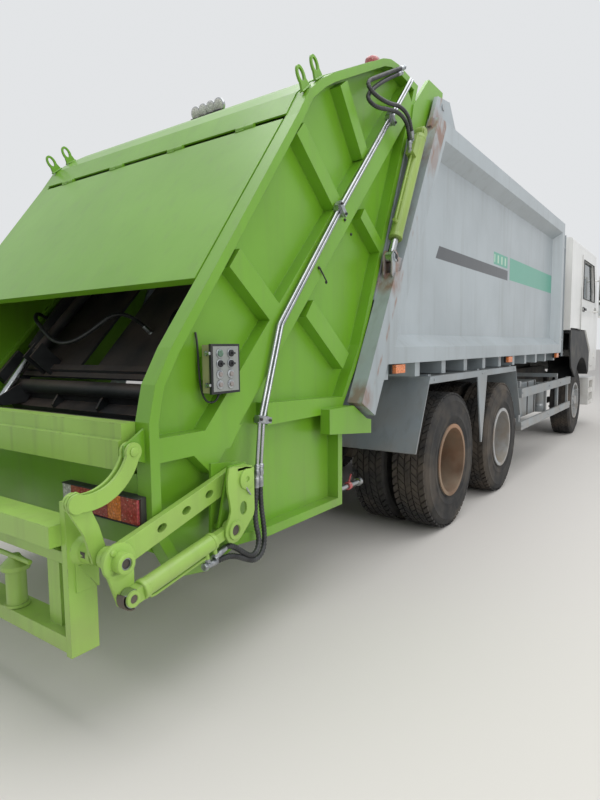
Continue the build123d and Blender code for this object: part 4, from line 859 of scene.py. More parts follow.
class TRUCK_OT_controls(bpy.types.Operator):
    """Control box with its buttons, the lifting eyes with their welds, and the box's cable"""
    bl_idname = "truck.controls"
    bl_label = "Controls"

    def execute(self, context):
        looks = "beige black_plastic grey_plastic green_lens zinc red_lens green pale_plastic"
        panel = Shape()
        # Bracket, body, rim and face of the box
        for slot, *spans in ((6, (-2.590, -2.470), (-1.117, -1.0703), (1.300, 1.400)),
                             (0, (-2.614, -2.448), (-1.160, -1.116), (1.249, 1.449)),
                             (1, (-2.618, -2.444), (-1.172, -1.159), (1.245, 1.453)),
                             (2, (-2.608, -2.454), (-1.174, -1.171), (1.255, 1.443))):
            panel.of(slot).box(*spans)
        for z, kinds in ((1.414, (3, 1)), (1.371, (1, 1)), (1.327, (7, 7)), (1.284, (7, 7))):
            for x, kind in zip((-2.572, -2.506), kinds):
                panel.of(4).turned(at(x, -1.174, z), (0, -1, 0), [(0, 0.0195), (0.004, 0.0190), (0.005, 0.0160)], 20)
                panel.slot = kind
                cap = 0.0105 if kind == 7 else 0.0150
                panel.turned(at(x, -1.177, z), (0, -1, 0), [(0, cap), (0.007, cap), (0.009, cap - 0.0025)], 20)
                if kind == 1:
                    panel.box((x - 0.004, x + 0.013), (-1.194, -1.185), (z - 0.004, z + 0.004))
        panel.slot = 4
        for z in (1.414, 1.283):
            panel.bar(at(-2.622, -1.142, z), at(-2.622, -1.170, z), 0.007, 10)
            panel.box((-2.628, -2.612), (-1.150, -1.142), (z - 0.010, z + 0.010))
        # Lifting eyes, with a weld along each foot
        panel.slot = 6
        for x, z, lean in ((-1.830, 2.731, 38.7), (-1.712, 2.823, 33.0)):
            ahead, up = slope(lean)
            for y in (-1.108, 1.108):
                foot = at(x, y, z)
                rings = []
                for c, d in circle(28):
                    outer = foot + up * (0.066 + 0.052 * d) + ahead * (0.034 * c * (1.25 if d < -0.5 else 1.0))
                    if d < -0.5:
                        outer = foot + ahead * 0.046 * c / 0.866 + up * 0.004
                    inner = foot + up * (0.072 + 0.031 * d) + ahead * (0.019 * c)
                    rings.append([outer + Vector((0, 0.006, 0)), outer + Vector((0, -0.006, 0)),
                        inner + Vector((0, -0.006, 0)), inner + Vector((0, 0.006, 0))])
                panel.skin(rings, loop=True)
                for side_y in (0.008, -0.008):
                    panel.bar(foot + ahead * -0.044 + up * 0.005 + Vector((0, side_y, 0)),
                        foot + ahead * 0.044 + up * 0.005 + Vector((0, side_y, 0)), 0.0045, 8)
        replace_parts(piece("control_box", panel, looks, "tailgate", bevel=0.0015), "tailgate_fittings")

        line, measured = route([(-2.541, -1.138, 1.249), (-2.544, -1.136, 1.226), (-2.562, -1.124, 1.204),
            (-2.592, -1.108, 1.212), (-2.607, -1.098, 1.262), (-2.611, -1.092, 1.340), (-2.610, -1.088, 1.420),
            (-2.609, -1.083, 1.475), (-2.609, -1.076, 1.502)])
        cable = Shape()
        cable.tube(line, 0.0045, 12)
        made = piece("control_cable", cable, "black_plastic", "tailgate", smooth=60)
        gland = Shape()
        gland.turned(line[0] + Vector((0, 0, 0.004)), (0, 0, -1), [(0, 0.010), (0.012, 0.010), (0.016, 0.006)], 8)
        glands = piece("control_cable_gland", gland, "black_plastic", "tailgate")
        return {"FINISHED"}


# Bin lifter

# Side outline of the ram's base bracket, going round from its right edge as its hole does
BRACKET = [(-2.457, 0.762), (-2.457, 0.790), (-2.457, 0.830), (-2.457, 0.880), (-2.457, 0.925), (-2.500, 0.933),
           (-2.545, 0.941), (-2.590, 0.949), (-2.612, 0.944), (-2.622, 0.905), (-2.622, 0.850), (-2.612, 0.805),
           (-2.606, 0.765), (-2.618, 0.735), (-2.638, 0.700), (-2.640, 0.670), (-2.626, 0.643), (-2.600, 0.628),
           (-2.572, 0.628), (-2.548, 0.640), (-2.520, 0.664), (-2.492, 0.690), (-2.464, 0.716), (-2.457, 0.740)]

# Side outline of the lifter frame's posts, narrow at the top where they pass the hopper's lip
POST = [(-3.190, 0.322), (-3.074, 0.322), (-3.074, 0.740), (-3.112, 0.790), (-3.112, 0.900), (-3.190, 0.900)]


class TRUCK_OT_lifter(bpy.types.Operator):
    """Open frame, slotted arms, pins, bearing rings and ram fittings of the bin lifter"""
    bl_idname = "truck.lifter"
    bl_label = "Bin lifter"

    def execute(self, context):
        looks = "faded zinc chassis chrome"
        base, hub, rack, arms, links, barrel, eye = (Shape() for _ in range(7))
        for hand in (1, -1):
            out = (0, hand, 0)
            # Pin heads on the base bracket, each with its grease nipple
            base.slot = 0
            hole = [(-2.529 + 0.022 * c, 0.762 + 0.029 * s) for c, s in circle(24)]
            front, back = hand * 1.2535, hand * 1.2435
            base.skin([[at(x, y, z) for x, y, z in ((o[0], front, o[1]), (o[0], back, o[1]), (h[0], back, h[1]),
                (h[0], front, h[1]))] for o, h in zip(BRACKET, hole)], loop=True)
            base.turned(beside(ARM_PIVOT, hand * 1.204), out, [(0, 0.030), (0.048, 0.030), (0.050, 0.044),
                (0.058, 0.044), (0.060, 0.040), (0.060, 0.012), (0.054, 0.010)], 28)
            base.turned(beside(RAM_FOOT, hand * 1.2425), out, [
                (0, 0.022), (0.010, 0.022), (0.011, 0.040), (0.020, 0.039), (0.020, 0.024), (0.012, 0.022)], 28)
            base.box((-2.560, -2.470), (hand * 1.190, hand * 1.2535), (0.925, 0.935))
            base.of(2).turned(beside(RAM_FOOT, hand * 1.2535), out, [(0, 0.022), (0.003, 0.021)], 20)
            base.turned(beside(ARM_PIVOT, hand * 1.2535), out, [(0, 0.010), (0.004, 0.009)], 14)
            base.of(1).bar(at(-2.520, hand * 1.262, 0.850), at(-2.492, hand * 1.262, 0.812), 0.004, 8)
            # Bearing of the frame's tube at the arm's end
            hub.of(0).turned(beside(ARM_END, hand * 1.1900), out, [(0, 0.066), (0.013, 0.066), (0.014, 0.064),
                (0.014, 0.037), (0.052, 0.0365), (0.054, 0.034), (0.054, 0.022), (0.040, 0.021)], 36)
            hub.turned(at(-3.146, hand * 1.2035, 0.745), out, [(0, 0.012), (0.007, 0.011), (0.009, 0.008)], 16)
            hub.of(1).turned(beside(ARM_END, hand * 1.2290), out, [
                (0, 0.022), (0.010, 0.0215), (0.010, 0.017), (0.002, 0.0165)], 24)
            hub.of(2).turned(beside(ARM_END, hand * 1.2295), out, [(0, 0.017), (0.002, 0.0165)], 24)
            # Link pins
            links.slot = 0
            for face, way in ((1.126, 1), (1.084, -1)):
                links.turned(at(-2.981, hand * face, 1.060), (0, hand * way, 0), [
                    (0, 0.019), (0.004, 0.018), (0.006, 0.014)], 20)
            # Ram: end cap, oil pipe below it and the two elbows at its head
            ahead = Vector((-0.514, 0, -0.104)).normalized()
            low = Vector((0.198, 0, -0.980))
            start = beside(RAM_FOOT, hand * 1.225)
            barrel.of(0).turned(start + ahead * 0.455, ahead, [
                (0, 0.0345), (0.002, 0.0372), (0.020, 0.0372), (0.023, 0.034)], 28)
            barrel.turned(start + ahead * 0.103, ahead, [
                (0, 0.034), (0.004, 0.0365), (0.018, 0.0365), (0.020, 0.0345)], 28)
            barrel.tube([start + ahead * 0.445 + low * 0.034, start + ahead * 0.440 + low * 0.046,
                start + ahead * 0.420 + low * 0.050, start + ahead * 0.185 + low * 0.050,
                start + ahead * 0.160 + low * 0.052], 0.006, 10)
            for step in (0.150, 0.105):
                barrel.of(0).bar(start + ahead * step + low * 0.030, start + ahead * step + low * 0.062, 0.010, 12)
                barrel.of(1).turned(start + ahead * step + low * 0.058, low, [(0, 0.0125), (0.014, 0.0125)], 6)
            # Strap round the rod's eye and its pin head
            eye.slot = 2
            middle = beside(ROD_EYE, 0)
            rings = []
            for k in range(13):
                way = slope(150 + 11 * k)[0]
                rings.append([middle + way * r + Vector((0, hand * y, 0)) for r, y in ((0.037, 1.206),
                    (0.037, 1.240), (0.042, 1.240), (0.042, 1.206))])
            eye.skin(rings)
            eye.of(0).turned(beside(ROD_EYE, hand * 1.2415), out, [
                (0, 0.030), (0.008, 0.029), (0.008, 0.016), (0.003, 0.015)], 24)
            corners = [(-3.075, 0.552), (-3.048, 0.558), (-3.058, 0.612), (-3.085, 0.606)]
            eye.plate(corners, hand * 1.225 + 0.020, 0.040)
            eye.of(2).turned(beside(ROD_EYE, hand * 1.2440), out, [(0, 0.0155), (0.002, 0.015)], 20)
        # Frame: open posts, box bars, the tube to the arms, link plates and the comb
        rack.slot = 0
        for y in (1.000, -0.968):
            rack.plate(POST, y, 0.032)
        for y in ((0.800, 0.880), (-0.880, -0.800)):
            rack.box((-3.150, -3.075), y, (0.395, 0.740))
        for x, z in (((-3.190, -3.078), (0.336, 0.396)), ((-3.236, -3.112), (0.738, 0.818)),
                     ((-3.166, -3.110), (0.655, 0.700))):
            rack.box(x, (-0.969, 0.969), z)
        rack.box((-3.180, -3.120), (-0.030, 0.030), (0.395, 0.740))
        rack.box((-3.250, -3.180), (-0.500, 0.500), (0.817, 0.885))
        for k in range(9):
            y = -0.480 + 0.120 * k
            rack.plate([(-3.297, 0.845), (-3.245, 0.845), (-3.245, 0.900), (-3.290, 0.960), (-3.297, 0.955)],
                y + 0.015, 0.030)
        for hand in (1, -1):
            out = (0, hand, 0)
            hub_foot = beside(ARM_END, hand * 0.990)
            rack.turned(hub_foot, out, [(0, 0.062), (0.006, 0.062), (0.030, 0.042), (0.092, 0.040), (0.092, 0.024),
                (0.137, 0.024), (0.137, 0.040), (0.160, 0.040), (0.160, 0.0345), (0.212, 0.0345)], 32)
            rack.plate([(-3.190, 0.800), (-3.160, 0.690), (-3.095, 0.700), (-3.130, 0.820), (-3.182, 0.940),
                (-3.208, 0.958), (-3.238, 0.950), (-3.252, 0.925), (-3.246, 0.898)], hand * 1.105 + 0.006, 0.012)
            rack.plate([(-3.176, 0.690), (-3.128, 0.548), (-3.112, 0.534), (-3.086, 0.534), (-3.064, 0.556),
                (-3.062, 0.600), (-3.060, 0.700)], hand * 1.197 + 0.007, 0.014)
            rack.plate([(-3.150, 0.660), (-3.076, 0.560), (-3.070, 0.560), (-3.070, 0.662)], hand * 1.006 + 0.005,
                0.010)
            rack.plate([(-3.162, 0.740), (-3.100, 0.740), (-3.084, 0.560), (-3.162, 0.560)], hand * 1.0035 + 0.0035,
                0.007)
        # Arms: a slender bar each, with three slots
        pivot, far = Vector(ARM_PIVOT), Vector(ARM_END)
        way = (far - pivot).normalized()
        across = Vector((-way.y, way.x))
        outline = []
        for centre, turn in ((pivot, 90), (far, -90)):
            for k in range(17):
                a = math.radians(turn + 180 * k / 16)
                outline.append(tuple(centre + (way * math.cos(a) + across * math.sin(a)) * 0.044))
        holes = [(0.0, 0.026, 0.026), (0.245, 0.023, 0.015), (0.455, 0.023, 0.015), (0.660, 0.023, 0.015),
            (1.0, 0.037, 0.037)]
        rims = []
        for share, long, high in holes:
            centre = pivot.lerp(far, share)
            rims.append([tuple(centre + way * (long * c) + across * (high * s)) for c, s in circle(24)])
        for y in (1.185, -1.155):
            arms.pierced(outline, rims, y, 0.030)
        # Latch of the comb: a spool with its lever on each side of the middle
        for y in (-0.560, 0.560):
            rack.turned(at(-3.150, y, 0.398), (0, 0, 1), [(0, 0.050), (0.010, 0.050), (0.012, 0.040), (0.150, 0.040),
                (0.152, 0.056), (0.170, 0.056), (0.200, 0.026), (0.212, 0.020)], 24)
            rack.bar(at(-3.168, y - 0.150, 0.612), at(-3.168, y + 0.110, 0.612), 0.010, 10)
        # Paint worn to brown on the tube
        rack.slot = 2
        for hand in (1, -1):
            rack.box((-3.1600, -3.1595), (hand * 1.035, hand * 1.062), (0.700, 0.722))
        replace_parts(piece("lifter_frame_open", rack, looks, "lifter_frame", bevel=0.002),
            "lifter_frame")
        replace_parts(piece("slotted_arms", arms, looks, "lifter_arms", bevel=0.0015), "lifter_arms")
        for name, shape, body in (("lifter_pins", base, "tailgate"), ("lifter_hub_rings", hub, "lifter_frame"),
                                  ("link_pins", links, "lifter_links"),
                                  ("lifter_ram_fittings", barrel, "lifter_barrels"),
                                  ("ram_eye_strap", eye, "lifter_rods")):
            piece(name, shape, looks, body, smooth=40)
        return {"FINISHED"}


# Tailgate fittings

class TRUCK_OT_tailgate(bpy.types.Operator):
    """Pipe clamps and ferrules, cover hinges, weld beads, drain valve and lift ram fittings"""
    bl_idname = "truck.tailgate"
    bl_label = "Tailgate fittings"

    def execute(self, context):
        looks = "green zinc chassis chrome red_lens black_plastic"
        gate = Shape()
        # Ridged ferrules where the pipes meet their hoses
        gate.slot = 1
        for x in (-2.331, -2.302):
            gate.turned(at(x, -1.160, 0.842), (0.12, 0, 0.993), [(0, 0.012), (0.004, 0.0135), (0.014, 0.0135),
                (0.016, 0.0115), (0.020, 0.0115), (0.022, 0.0135), (0.034, 0.0135), (0.036, 0.0115), (0.040, 0.0115),
                (0.042, 0.0135), (0.056, 0.0135), (0.060, 0.010)], 18)
        # Clamp blocks with a rusty bolt on each side
        for x, z, lean in ((-2.286, 1.105, 80.0), (-1.586, 2.180, 47.0), (-0.986, 2.840, 47.0)):
            way, across = slope(lean)
            middle = at(x, 0, z)
            gate.slot = 1
            for wide, long, y_low, y_high in ((0.046, 0.014, -1.184, -1.1705), (0.040, 0.018, -1.1715, -1.149)):
                ring = [middle + across * a + way * b for a, b in ((-wide, -long), (wide, -long), (wide, long),
                    (-wide, long))]
                gate.skin([[v + Vector((0, y_high, 0)) for v in ring], [v + Vector((0, y_low, 0)) for v in ring]])
            gate.slot = 2
            for step in (-0.033, 0.033):
                gate.nut(middle + across * step + Vector((0, -1.185, 0)), (0, -1, 0), 0.0075, 0.006)
        # Drain valve in front of the hopper's lower corner
        gate.of(3).bar(at(-1.560, -1.000, 0.552), at(-1.070, -1.000, 0.552), 0.017, 18)
        gate.turned(at(-1.120, -1.000, 0.552), (1, 0, 0), [
            (0, 0.017), (0.004, 0.027), (0.030, 0.027), (0.034, 0.020)], 18)
        gate.of(4).turned(at(-1.250, -1.000, 0.552), (1, 0, 0), [
            (0, 0.024), (0.004, 0.026), (0.030, 0.026), (0.034, 0.022)], 18)
        gate.bar(at(-1.234, -1.000, 0.560), at(-1.200, -1.000, 0.622), 0.006, 8)
        # Two bolts in the side and the lid's hinge pins
        gate.slot = 2
        bolts(gate, [(-1.506, -1.1405, 2.140), (-1.439, -1.1405, 2.071), (-1.772, -1.1405, 1.849),
            (-1.703, -1.1405, 1.780)], (0, -1, 0), 0.009, 0.006)
        gate.bar(at(-1.772, -1.148, 1.849), at(-1.703, -1.148, 1.780), 0.004, 8)
        gate.slot = 0
        for y in (-0.800, -0.270, 0.270, 0.800):
            for side_y in (-0.061, 0.061):
                gate.turned(at(-1.940, y + side_y, 2.577), (0, math.copysign(1, side_y), 0), [
                    (-0.006, 0.0105), (0, 0.010)], 14)
        piece("tailgate_details", gate, looks, "tailgate", smooth=40)

        # Weld beads along the ribs' feet, on both sides
        beads = Shape()
        for start, end in WELDS:
            for hand in (1, -1):
                first, last = at(start[0], hand * 1.0705, start[1]), at(end[0], hand * 1.0705, end[1])
                count = max(2, round((last - first).length / 0.012))
                line = [first.lerp(last, k / (count * 2)) for k in range(count * 2 + 1)]
                beads.tube(line, 0.004, 6, lambda run: 0.0038 + 0.0009 * math.cos(TURN * run / 0.012))
        piece("weld_beads", beads, "green", "tailgate", smooth=60)

        lift = Shape()
        for hand in (1, -1):
            ahead = Vector((0.4543, 0, 0.8909))
            back = Vector((-0.8909, 0, 0.4543))
            base = beside(LIFT_FOOT, hand * 1.202)
            lift.slot = 0
            # Gland nut, end cap, brackets of the thin pipe and the valve's plugs
            lift.turned(base + ahead * 0.1345, ahead, [
                (0, 0.030), (0.002, 0.0435), (0.022, 0.0435), (0.026, 0.0425)], 28)
            lift.turned(base + ahead * 0.905, ahead, [
                (0, 0.042), (0.003, 0.0435), (0.020, 0.0435), (0.024, 0.0415)], 28)
            for step in (0.380, 0.560):
                lift.bar(base + ahead * (step + 0.010) + back * 0.040, base + ahead * (step + 0.010) + back * 0.060,
                    0.009, 10)
            lift.slot = 1
            for step in (0.760, 0.808, 0.856):
                lift.nut(base + ahead * step + back * 0.0865, back, 0.011, 0.009)
            lift.turned(base + ahead * 0.880 + back * 0.062, ahead, [(0, 0.013), (0.016, 0.013), (0.020, 0.009)], 6)
        piece("lift_ram_fittings", lift, looks.replace("green", "olive"), "lift_barrels", smooth=40)

        lugs = Shape()
        for hand in (1, -1):
            lugs.of(2).turned(beside(LIFT_FOOT, hand * 1.2405), (0, hand, 0), [(-0.002, 0.017), (0.002, 0.016)], 20)
            # Dark clip and oil-stained end of the ram's pin
            lugs.bar(at(-1.078, hand * 1.240, 2.012), at(-1.034, hand * 1.240, 1.958), 0.0035, 8)
        piece("lift_pin_clips", lugs, looks, "truck", smooth=40)
        return {"FINISHED"}


# Start and end of each weld on the tailgate's side, in truck distances
WELDS = (((-1.230, 2.574), (-1.472, 2.896)), ((-1.537, 2.238), (-1.891, 2.547)))


# Chassis and body details

class TRUCK_OT_chassis(bpy.types.Operator):
    """U-bolts, brake chambers, tank straps, filler caps and the bolts of guards and fenders"""
    bl_idname = "truck.chassis"
    bl_label = "Chassis"

    def execute(self, context):
        looks = "chassis zinc black_plastic grey silver"
        under = Shape()
        for hand in (1, -1):
            # U-bolts and their plates on the front springs
            for x in (FRONT_AXLE - 0.065, FRONT_AXLE + 0.065):
                for y in (0.340, 0.440):
                    under.bar(at(x, hand * y, 0.498), at(x, hand * y, 0.690), 0.009, 8)
                under.bar(at(x, hand * 0.336, 0.684), at(x, hand * 0.444, 0.684), 0.009, 8)
            # Rear brake chambers, behind each axle beam
            for x in (0.0, MIDDLE_AXLE):
                for step, radius in ((0.0, 0.088), (0.095, 0.096)):
                    under.turned(at(x - 0.235 - step, hand * 0.330, 0.585), (-1, 0, 0.15), [
                        (0, radius * 0.6), (0.012, radius), (0.040, radius), (0.044, radius + 0.006),
                        (0.052, radius + 0.006), (0.056, radius), (0.086, radius * 0.92), (0.096, radius * 0.5)], 24)
                under.bar(at(x - 0.240, hand * 0.330, 0.585), at(x - 0.070, hand * 0.330, 0.565), 0.010, 10)
        piece("springs_and_brakes", under, looks, "truck", smooth=40)

        tanks = Shape()
        tanks.slot = 1
        for x in (2.480, 3.280):
            ring = []
            for corner_y, corner_z, start in ((1.052, 0.992, 0), (0.668, 0.992, 90), (0.668, 0.608, 180),
                                              (1.052, 0.608, 270)):
                for k in range(7):
                    a = math.radians(start + 15 * k)
                    ring.append((corner_y + 0.0945 * math.cos(a), corner_z + 0.0945 * math.sin(a)))
            tanks.skin([[at(x + dx, y, z) for y, z in ring] for dx in (-0.022, 0.022)])
        tanks.of(2).turned(at(2.900, 1.020, 1.068), (0, 0.5, 0.866), [
            (0, 0.040), (0.016, 0.040), (0.020, 0.052), (0.040, 0.050), (0.044, 0.044)], 20)
        tanks.slot = 0
        for x in (2.420, 2.750, 3.080):
            tanks.box((x - 0.015, x + 0.015), (-1.1255, -1.119), (0.602, 0.998))
        tanks.slot = 1
        for y in (-0.680, -0.870, -1.060):
            for z in (0.640, 0.820):
                tanks.turned(at(3.560, y, z), (0, 0, 1), [(0, 0.0835), (0.024, 0.0835)], 28)
        piece("tank_straps", tanks, looks, "truck", smooth=40)

        outer = Shape()
        for hand in (1, -1):
            # Plates over the side markers, and the bolts of the guards and fenders
            for x in MARKERS:
                outer.of(3).box((x - 0.085, x + 0.085), (hand * 1.190, hand * 1.244), (1.3235, 1.3265))
            outer.slot = 1
            bolts(outer, [(x + 0.025, hand * 1.2405, z) for x in (2.020, 3.310, 4.010, 4.700)
                for z in (0.915, 0.557)], (0, hand, 0), 0.010, 0.006)
            bolts(outer, [(x, hand * 1.2405, 1.191) for x in (-0.420, 0.675, 1.680)], (0, hand, 0), 0.008, 0.003)
            outer.slot = 4
            bolts(outer, [(3.930, hand * 1.2455, z) for z in (1.500, 1.900, 2.300, 2.700)], (0, hand, 0), 0.007, 0.001)
        piece("side_fasteners", outer, looks, "truck", smooth=40)
        return {"FINISHED"}


# Cab details

def cushion(name, middle, half, tilt, crown=0.014):
    """Crowned seat pad: a superellipse block with a sewn edge, turned about the cross axis."""
    pad = Shape()
    rows = []
    lean = Matrix.Rotation(math.radians(tilt), 4, "Y")
    for k in range(15):
        height = -1 + 2 * k / 14
        reach = (1 - abs(height) ** 3.2) ** 0.32 if abs(height) < 1 else 0.55
        ring = []
        for c, d in circle(36):
            x = math.copysign(abs(c) ** 0.42, c)
            y = math.copysign(abs(d) ** 0.42, d)
            bulge = crown * (1 - min(1.0, x * x)) * (1 - min(1.0, y * y)) if height > 0 else 0.0
            ring.append(middle + lean @ Vector((half[0] * x * (0.86 + 0.14 * reach),
                half[1] * y * (0.9 + 0.1 * reach), half[2] * height + bulge)))
        rows.append(ring)
    for share, rise in ((0.6, 0.55), (0.25, 0.9)):
        rows.append([middle + (v - middle) * share + lean @ Vector((0, 0, half[2] * (1 - share) + crown * rise))
            for v in rows[14]])
    pad.skin(rows)
    made = piece(name, pad, "fabric", "cab", smooth=60)
    made.modifiers.new("Crown", "SUBSURF").levels = 1


class TRUCK_OT_cab(bpy.types.Operator):
    """Seats, grille bars, wipers, window rubbers, mirrors, handles and the intake stack"""
    bl_idname = "truck.cab"
    bl_label = "Cab"

    def execute(self, context):
        looks = "black_plastic mirror zinc grey_plastic white chassis"
        seats = Shape()
        for y in (-0.700, 0.700):
            seats.box((4.980, 5.360), (y - 0.190, y + 0.190), (1.6705, 1.700))
            seats.box((5.040, 5.300), (y - 0.130, y + 0.130), (1.699, 1.800))
            seats.box((4.950, 5.390), (y - 0.235, y + 0.235), (1.798, 1.822))
            for end in (y - 0.238, y + 0.238):
                seats.bar(at(4.955, end, 1.830), at(4.915, end, 1.930), 0.014, 10)
        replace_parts(piece("seat_frames", seats, looks, "cab", bevel=0.004), "seats")
        for side, y in (("left", 0.700), ("right", -0.700)):
            cushion("seat_pad_" + side, at(5.175, y, 1.872), (0.225, 0.245, 0.050), 0)
            cushion("seat_back_" + side, at(4.905, y, 2.135), (0.285, 0.240, 0.045), -84)

        face = Shape()
        # Grille bars in the slots of the front, and its lower edge
        for z in (1.1725, 1.2525, 1.3325, 1.4125, 1.4925):
            face.box((7.106, 7.120), (-0.698, 0.698), (z - 0.021, z + 0.021))
            face.of(3).box((7.119, 7.146), (-0.694, 0.694), (z - 0.006, z + 0.006))
            face.slot = 0
        # Wipers at rest on the windscreen's foot
        up, inward = slope(math.degrees(math.atan2(2.890 - 2.062, 6.752 - 7.110)))
        out = -inward
        foot = at(7.116, 0, 2.068)
        for y in (0.640, 0.020):
            pivot = foot + up * 0.020 + out * 0.014 + Vector((0, y, 0))
            tip = foot + up * 0.110 + out * 0.022 + Vector((0, y - 0.560, 0))
            face.bar(pivot - out * 0.012, pivot + out * 0.012, 0.013, 12)
            face.bar(pivot + out * 0.008, tip, 0.006, 8)
            face.bar(tip + Vector((0, -0.02, 0)) - out * 0.012,
                pivot + up * 0.060 + Vector((0, -0.05, 0)) + out * 0.003, 0.008, 8)
        # Rubber round the windscreen
        for y in (-1.185, 1.185):
            face.bar(foot + up * 0.010 + out * 0.006 + Vector((0, y, 0)),
                foot + up * 0.885 + out * 0.006 + Vector((0, y, 0)), 0.009, 8)
        for step in (0.010, 0.885):
            face.bar(foot + up * step + out * 0.006 + Vector((0, -1.185, 0)),
                foot + up * step + out * 0.006 + Vector((0, 1.185, 0)), 0.009, 8)
        piece("cab_face_details", face, looks, "cab", smooth=40, bevel=0.0015)

        wheel = Shape()
        axis = Vector((-0.894, 0, 0.447))
        middle = at(6.480, 0.700, 2.010) + axis * 0.014
        side_way = Vector((0, 1, 0))
        over = axis.cross(side_way)
        rings = []
        for c, s in circle(48):
            way = side_way * c + over * s
            rings.append([middle + way * (0.210 + 0.0165 * b) + axis * 0.0165 * d for b, d in circle(12)])
        wheel.skin(rings, loop=True)
        wheel.dome(middle + axis * 0.004, axis, 0.062, 0.022)
        piece("steering_wheel_trim", wheel, looks, "cab", smooth=60)

        for side, hand in SIDES:
            door = Shape()
            # Window rubber, handle recess and mirror with its glass towards the rear
            outline = [(5.520, 2.140), (5.520, 2.730), (6.450, 2.730), (6.620, 2.300), (6.620, 2.140)]
            for first, last in zip(outline, outline[1:] + outline[:1]):
                door.bar(at(first[0], hand * 1.2475, first[1]), at(last[0], hand * 1.2475, last[1]), 0.008, 8)
            door.box((5.505, 5.695), (hand * 1.2445, hand * 1.2475), (1.940, 2.012))
            door.box((5.512, 5.688), (hand * 1.262, hand * 1.276), (1.958, 1.992))
            shell = [(6.606, 1.900), (6.630, 1.882), (6.672, 1.882), (6.688, 1.910), (6.688, 2.550), (6.672, 2.578),
                (6.630, 2.578), (6.606, 2.560)]
            door.plate(shell, max(hand * 1.311, hand * 1.469), 0.158)
            door.slot = 1
            for heights in ((2.170, 2.552), (1.906, 2.140)):
                door.box((6.5995, 6.6065), (hand * 1.320, hand * 1.460), heights)
            door.of(3).box((5.380, 5.400), (hand * 1.2445, hand * 1.2465), (1.640, 2.300))
            piece("door_details_" + side, door, looks, "door_" + side, smooth=40, bevel=0.002)

        stack = Shape()
        stack.slot = 5
        # Intake stack with its rain cap behind the cab
        stack.box((4.440, 4.600), (-1.060, -0.840), (1.700, 2.700))
        stack.slot = 0
        for k in range(9):
            stack.box((4.4355, 4.606), (-1.066, -0.834), (2.500 + 0.024 * k, 2.512 + 0.024 * k))
        piece("intake_stack", stack, looks, "cab", bevel=0.006)
        return {"FINISHED"}


# Hoses

# Control points of each hose's route, in truck distances, with the body that it rides on and its stiffness
HOSES = {
    "lifter_hose_near": ("tailgate", "stiff", [
        (-2.331, -1.160, 0.828), (-2.332, -1.160, 0.780), (-2.352, -1.166, 0.705), (-2.360, -1.176, 0.630),
        (-2.352, -1.190, 0.565), (-2.385, -1.202, 0.516), (-2.440, -1.212, 0.512), (-2.500, -1.220, 0.552),
        (-2.567, -1.222, 0.602), (-2.610, -1.222, 0.614), (-2.645, -1.222, 0.597)]),
    "lifter_hose_far": ("tailgate", "stiff", [
        (-2.302, -1.160, 0.828), (-2.304, -1.160, 0.780), (-2.305, -1.164, 0.700), (-2.300, -1.172, 0.625),
        (-2.306, -1.184, 0.548), (-2.340, -1.196, 0.494), (-2.405, -1.206, 0.482), (-2.470, -1.214, 0.510),
        (-2.540, -1.220, 0.548), (-2.612, -1.222, 0.572), (-2.700, -1.222, 0.566)]),
    "lift_hose_outer": ("tailgate", "stiff", [
        (-0.839, -1.150, 3.162), (-0.930, -1.158, 3.112), (-1.040, -1.164, 3.052), (-1.190, -1.172, 2.960),
        (-1.318, -1.186, 2.868), (-1.345, -1.200, 2.820), (-1.270, -1.214, 2.800), (-1.150, -1.226, 2.826),
        (-1.040, -1.232, 2.846), (-0.940, -1.234, 2.838), (-0.860, -1.226, 2.796), (-0.806, -1.208, 2.716)]),
    "lift_hose_inner": ("tailgate", "stiff", [
        (-0.800, -1.150, 3.210), (-0.900, -1.160, 3.160), (-1.050, -1.172, 3.080), (-1.220, -1.184, 2.990),
        (-1.330, -1.194, 2.930), (-1.352, -1.206, 2.886), (-1.280, -1.218, 2.858), (-1.130, -1.228, 2.862),
        (-1.020, -1.234, 2.888), (-0.920, -1.236, 2.880), (-0.830, -1.226, 2.846), (-0.772, -1.208, 2.788)]),
    "blade_hose_left": ("carriage", "stiff", [
        (-2.022, 0.952, 1.622), (-2.120, 0.935, 1.690), (-2.215, 0.850, 1.655), (-2.250, 0.700, 1.570),
        (-2.290, 0.500, 1.480), (-2.305, 0.300, 1.470), (-2.275, 0.130, 1.540), (-2.190, 0.020, 1.650),
        (-2.090, -0.040, 1.620), (-2.018, -0.060, 1.548)]),
    "blade_hose_right": ("carriage", "stiff", [
        (-1.977, -0.430, 1.586), (-2.060, -0.435, 1.665), (-2.160, -0.450, 1.630), (-2.250, -0.500, 1.525),
        (-2.285, -0.600, 1.490), (-2.260, -0.720, 1.560), (-2.215, -0.850, 1.655), (-2.120, -0.935, 1.690),
        (-2.022, -0.952, 1.622)]),
}


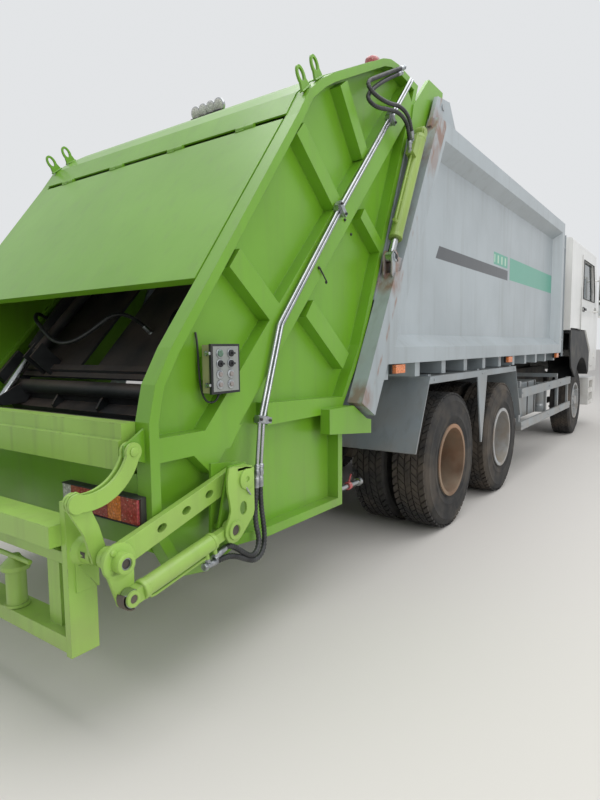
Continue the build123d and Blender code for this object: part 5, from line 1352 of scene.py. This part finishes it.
class TRUCK_OT_hoses(bpy.types.Operator):
    """Hydraulic hoses under their spiral guard, with pressed ferrules"""
    bl_idname = "truck.hoses"
    bl_label = "Hoses"

    def execute(self, context):
        sizes = context.scene.truck_sizes
        radius, pitch = sizes.hose / 2, sizes.hose_ridge
        for name, (body, stiffness, points) in HOSES.items():
            line, measured = route(points)
            print("hose", name, round(measured, 4))
            path = even(line, pitch / 4)
            shape = Shape()
            shape.tube(path, radius, 12, lambda run: radius * (0.90 + 0.10 * math.cos(TURN * run / pitch)))
            made = piece(name, shape, "hose", body, smooth=60)
            ends = Shape()
            for end, inner in ((path[0], path[6]), (path[-1], path[-7])):
                ahead = (inner - end).normalized()
                ends.turned(end - ahead * 0.034, ahead, [(0, 0.008), (0.004, 0.0125), (0.020, 0.0125),
                    (0.022, 0.0145), (0.064, 0.0145), (0.068, 0.0125), (0.068, 0.008)], 16)
                ends.nut(end - ahead * 0.040, ahead, 0.0165, 0.018)
            ferrules = piece(name + "_ferrules", ends, "zinc", body)
        return {"FINISHED"}


class TRUCK_PT_panel(bpy.types.Panel):
    """The pieces that can be made, in order"""
    bl_idname = "TRUCK_PT_panel"
    bl_label = "Truck"
    bl_space_type = "VIEW_3D"
    bl_region_type = "UI"
    bl_category = "Truck"

    def draw(self, context):
        for group in (context.scene.truck_colours, context.scene.truck_sizes):
            for name in group.bl_rna.properties.keys():
                if name not in ("rna_type", "name"):
                    self.layout.prop(group, name)
        for item in OPERATORS:
            self.layout.operator(item.bl_idname)


OPERATORS = (TRUCK_OT_stage, TRUCK_OT_finishes, TRUCK_OT_hoses, TRUCK_OT_controls, TRUCK_OT_tyres, TRUCK_OT_hubs,
             TRUCK_OT_lamps, TRUCK_OT_lifter, TRUCK_OT_tailgate, TRUCK_OT_chassis, TRUCK_OT_cab)
CLASSES = (TruckColours, TruckSizes) + OPERATORS + (TRUCK_PT_panel,)


def main():
    register()
    for item in OPERATORS:
        group, name = item.bl_idname.split(".")
        getattr(getattr(bpy.ops, group), name)()


if __name__ == "__main__":
    main()
